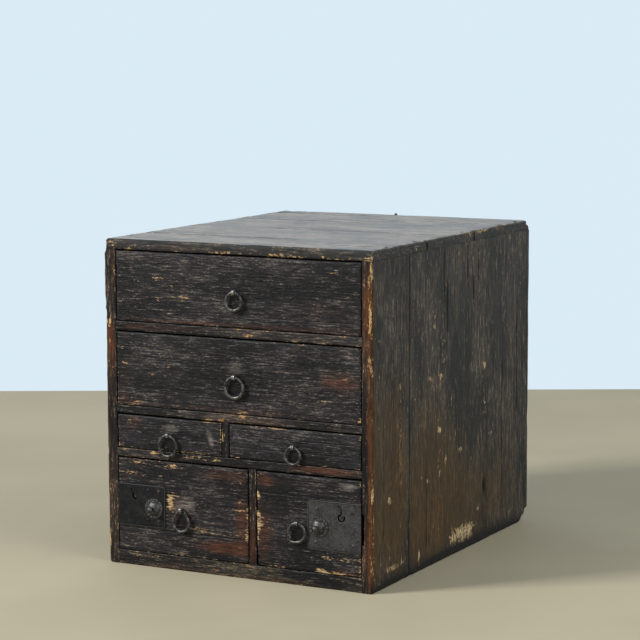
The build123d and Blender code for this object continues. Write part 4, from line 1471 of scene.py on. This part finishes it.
for drawer, lock in locks.items():
    low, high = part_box(drawer + "_lock_plate")
    faceY = low.y
    middleZ = (low.z + high.z) / 2
    # the drawer's edge beside the lock, where insets start
    frontLow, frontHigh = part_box(drawer + "_front")
    edgeX = frontHigh.x if lock["side"] > 0 else frontLow.x
    # the raised rim rounds only the plate's inner end, so its other end lies past the drawer's edge
    farX = edgeX + lock["side"] * plateFinish["rimPast"] * mm
    innerX = low.x if lock["side"] > 0 else high.x
    rim = {
        "face": faceY,
        "x": (farX + innerX) / 2,
        "z": middleZ,
        "halfWidth": abs(farX - innerX) / 2,
        "halfHeight": (high.z - low.z) / 2,
        "corner": plateFinish["corner"] * mm,
        "groove": plateFinish["groove"] * mm,
    }
    plateMaterial = ironMaterial(camel(drawer) + " plate iron", lock["iron"], lock["holes"], rim)
    shape = cadCopy(drawer + "_lock_plate")
    outline = [
        edge
        for edge in shape.edges
        if edge.calc_face_angle(0.0) > math.radians(60)
        and all(abs(vert.co.y - faceY) < 1e-5 for vert in edge.verts)
    ]
    softenEdges(shape, outline, plateFinish["bevel"])
    cutAcross(shape, 0, gridCuts(low.x, high.x, plateFinish["grid"]))
    cutAcross(shape, 2, gridCuts(low.z, high.z, plateFinish["grid"]))
    for vert in shape.verts:
        if vert.co.y < faceY + 0.3 * mm:
            vert.co.y += plateFinish["dents"] * mm * (0.5 + 0.5 * wave(vert.co, 90.0, 2.0))
    finishPiece(
        camel(drawer) + "LockPlate",
        shape,
        drawer,
        plateMaterial,
        [drawer + "_lock_plate"],
        35.0,
    )

    shape = bmesh.new()
    for inset, rise in lock["nails"]:
        x = edgeX - lock["side"] * inset * mm
        z = middleZ + rise * mm
        radius = lock["nailRadius"] * mm
        dome(shape, (x, faceY + 0.2 * mm, z), radius, 1.3 * mm)
        size = Matrix.Diagonal((1.5 * mm, 8 * mm, 1.5 * mm, 1))
        shank = Matrix.Translation((x, faceY + 4.6 * mm, z)) @ size
        bmesh.ops.create_cube(shape, size=1.0, matrix=shank)
    hammered(shape, 0.18, 300.0, 7.0)
    nailIron = dict(lock["iron"], light=(0.08, 0.078, 0.076))
    nailMaterial = ironMaterial(camel(drawer) + " nail iron", nailIron)
    finishPiece(
        camel(drawer) + "LockNails", shape, drawer, nailMaterial, [drawer + "_lock_nails"]
    )

    axle = Vector((edgeX - lock["side"] * lock["knobInset"] * mm, faceY, middleZ - 2.0 * mm))
    shape = bmesh.new()
    flange, domeHeight = rosette["flange"], rosette["domeHeight"]
    domeOut = [
        (rosette["domeRadius"] * math.cos(angle), flange + (domeHeight - flange) * math.sin(angle))
        for angle in (0.25, 0.5, 0.8, 1.1)
    ]
    profile = [
        (8.0, 0.0),
        (13.0, 0.0),
        (13.2, 0.3),
        (13.0, flange),
        (12.6, flange + 0.1),
        (9.6, flange),
        (9.2, flange + 0.2),
        *domeOut,
        (2.6, domeHeight),
        (2.5, domeHeight - 0.9),
        (4.6, domeHeight - 1.9),
        (8.0, 0.0),
    ]
    lathe(shape, profile)
    circle = rosette["beadCircle"] * mm
    for bead in range(rosette["beads"]):
        angle = 2 * math.pi * bead / rosette["beads"]
        spot = (circle * math.cos(angle), -flange * mm, circle * math.sin(angle))
        dome(shape, spot, 1.35 * mm, 1.0 * mm, 10)
    bmesh.ops.recalc_face_normals(shape, faces=shape.faces)
    hammered(shape, 0.14, 260.0, 3.0)
    bmesh.ops.translate(shape, verts=shape.verts, vec=axle)
    knobIron = ironMaterial(camel(drawer) + " knob iron", dict(lock["iron"], **knobFinish))
    finishPiece(
        camel(drawer) + "LockRosette", shape, drawer, knobIron, [drawer + "_lock_rosette"], 50.0
    )

    nub = lock["nubRadius"]
    base = domeHeight + 1.6
    shape = bmesh.new()
    ball = [
        (nub * math.cos(angle), base + 0.85 * nub + 0.9 * nub * math.sin(angle))
        for angle in map(math.radians, (-40, -15, 10, 35, 60, 80))
    ]
    stem = [(0.0, crank["back"]), (2.35, crank["back"]), (2.35, 0.0), (2.2, 0.2), (2.2, base)]
    lathe(shape, [*stem, *ball, (0.0, base + 1.75 * nub)], 28)
    lean = -lock["side"] * math.radians(crank["lean"])
    reach = crank["reach"] * mm
    tip = Vector((reach * math.sin(lean), 0, reach * math.cos(lean)))
    lying = Matrix.Rotation(math.pi / 2, 4, "X")
    for centre, radius, start, end in (
        ((0, 0, 0), crank["hub"], crank["back"], crank["front"]),
        (tip, crank["eye"], crank["back"], crank["front"]),
        (tip, crank["pin"], crank["pinBack"], crank["pinFront"]),
    ):
        depth = (end - start) * mm
        at = Matrix.Translation(Vector(centre) + Vector((0, -(start + end) / 2 * mm, 0)))
        bmesh.ops.create_cone(
            shape,
            cap_ends=True,
            segments=24,
            radius1=radius * mm,
            radius2=radius * mm,
            depth=depth,
            matrix=at @ lying,
        )
    armDepth = -(crank["back"] + crank["front"]) / 2 * mm
    arm = Matrix.Translation(tip / 2 + Vector((0, armDepth, 0))) @ Matrix.Rotation(lean, 4, "Y")
    arm = arm @ Matrix.Diagonal((crank["armWidth"] * mm, crank["armThickness"] * mm, reach, 1))
    bmesh.ops.create_cube(shape, size=1.0, matrix=arm)
    bmesh.ops.recalc_face_normals(shape, faces=shape.faces)
    for vert in shape.verts:
        if vert.co.y < -base * mm:
            vert.co += vert.co.normalized() * 0.18 * mm * wave(vert.co, 330.0, 6.0)
    bmesh.ops.translate(shape, verts=shape.verts, vec=axle)
    finishPiece(
        camel(drawer) + "LockKnob", shape, drawer + "_knob", knobIron, [drawer + "_lock_knob"], 40.0
    )
    for part in ("bolt", "case", "spring"):
        refinish(f"{drawer}_lock_{part}", hiddenIron)
print("locks made")

# floor, light and camera
room = {
    "floorColour": (0.40, 0.36, 0.255),
    "wallColour": (0.70, 0.83, 0.92),
    "lightColour": (0.86, 0.93, 1.0),
    "worldStrength": 0.47,
    "farEdge": 4.265,
}
view = {"place": (1.3945, -2.6638, 0.6885), "yaw": -0.48510, "pitch": 0.12930, "roll": -0.0029, "lens": 128.2}

floorMaterial, start = newMaterial("pale floor")
place = start.node("TexCoord", output=3)
mottle = start.node("TexNoise", {}, {"Vector": place, "Scale": 3.0, "Detail": 3.0})
tones = [[share * part for part in room["floorColour"]] for share in (0.96, 1.04)]
floorTone = mottle.ramp(0.35, 0.65).mix(*tones)
paleFloor = start.node(
    "BsdfPrincipled", {}, {"Base Color": floorTone, "Roughness": 0.7, "Specular IOR Level": 0.2}
)
start.node("OutputMaterial", {}, {"Surface": paleFloor})
shape = bmesh.new()
bmesh.ops.create_grid(shape, x_segments=1, y_segments=1, size=1.0)
sight = Vector((math.sin(view["yaw"]), math.cos(view["yaw"]), 0))
rightward = Vector((math.cos(view["yaw"]), -math.sin(view["yaw"]), 0))
ground = Vector((view["place"][0], view["place"][1], 0))
for vert in shape.verts:
    reach = room["farEdge"] if vert.co.y > 0 else -2.5
    vert.co = ground + sight * reach + rightward * (vert.co.x * 5.0)
floorMesh = bpy.data.meshes.new("floor")
shape.to_mesh(floorMesh)
shape.free()
floor = bpy.data.objects.new("floor", floorMesh)
bpy.context.scene.collection.objects.link(floor)
floorMesh.materials.append(floorMaterial)

world = bpy.data.worlds.new("room")
world.use_nodes = True
world.node_tree.nodes.clear()
bpy.context.scene.world = world
start = Wire(world.node_tree)
rays = [start.node("LightPath", output=index) for index in (0, 3, 6)]  # camera, glossy, transmission
seen = rays[0].most(rays[1]).most(rays[2])
light = start.node("Background", {}, {"Color": tint(room["lightColour"]), "Strength": room["worldStrength"]})
wall = start.node("Background", {}, {"Color": tint(room["wallColour"]), "Strength": 1.0})
sky = start.node("MixShader", {}, {0: seen, 1: light, 2: wall})
start.node("OutputWorld", {}, {"Surface": sky})

lamps = {
    "window": {"place": (-2.4, -2.6, 2.6), "size": 0.9, "power": 175.0, "colour": (1.0, 0.98, 0.96)},
    "fill": {"place": (3.0, -0.6, 1.6), "size": 2.2, "power": 62.0, "colour": (1.0, 0.97, 0.93)},
}
for name, lamp in lamps.items():
    data = bpy.data.lights.new(name, "AREA")
    data.shape = "SQUARE"
    data.size = lamp["size"]
    data.energy = lamp["power"]
    data.color = lamp["colour"]
    made = bpy.data.objects.new(name, data)
    bpy.context.scene.collection.objects.link(made)
    made.location = lamp["place"]
    made.rotation_euler = (Vector((0, 0, 0.2)) - Vector(lamp["place"])).to_track_quat("-Z", "Y").to_euler()

cameraData = bpy.data.cameras.new("camera")
cameraData.lens = view["lens"]
cameraData.sensor_width = 36.0
camera = bpy.data.objects.new("camera", cameraData)
bpy.context.scene.collection.objects.link(camera)
bpy.context.scene.camera = camera
forward = Vector(
    (
        math.sin(view["yaw"]) * math.cos(view["pitch"]),
        math.cos(view["yaw"]) * math.cos(view["pitch"]),
        -math.sin(view["pitch"]),
    )
)
upward = rightward.cross(forward)
tilted = rightward * math.cos(view["roll"]) + upward * math.sin(view["roll"])
upward = tilted.cross(forward)
turn = Matrix((tilted, upward, -forward)).transposed().to_4x4()
camera.matrix_world = Matrix.Translation(view["place"]) @ turn
bpy.context.scene.view_settings.view_transform = "Standard"
print("room lit")
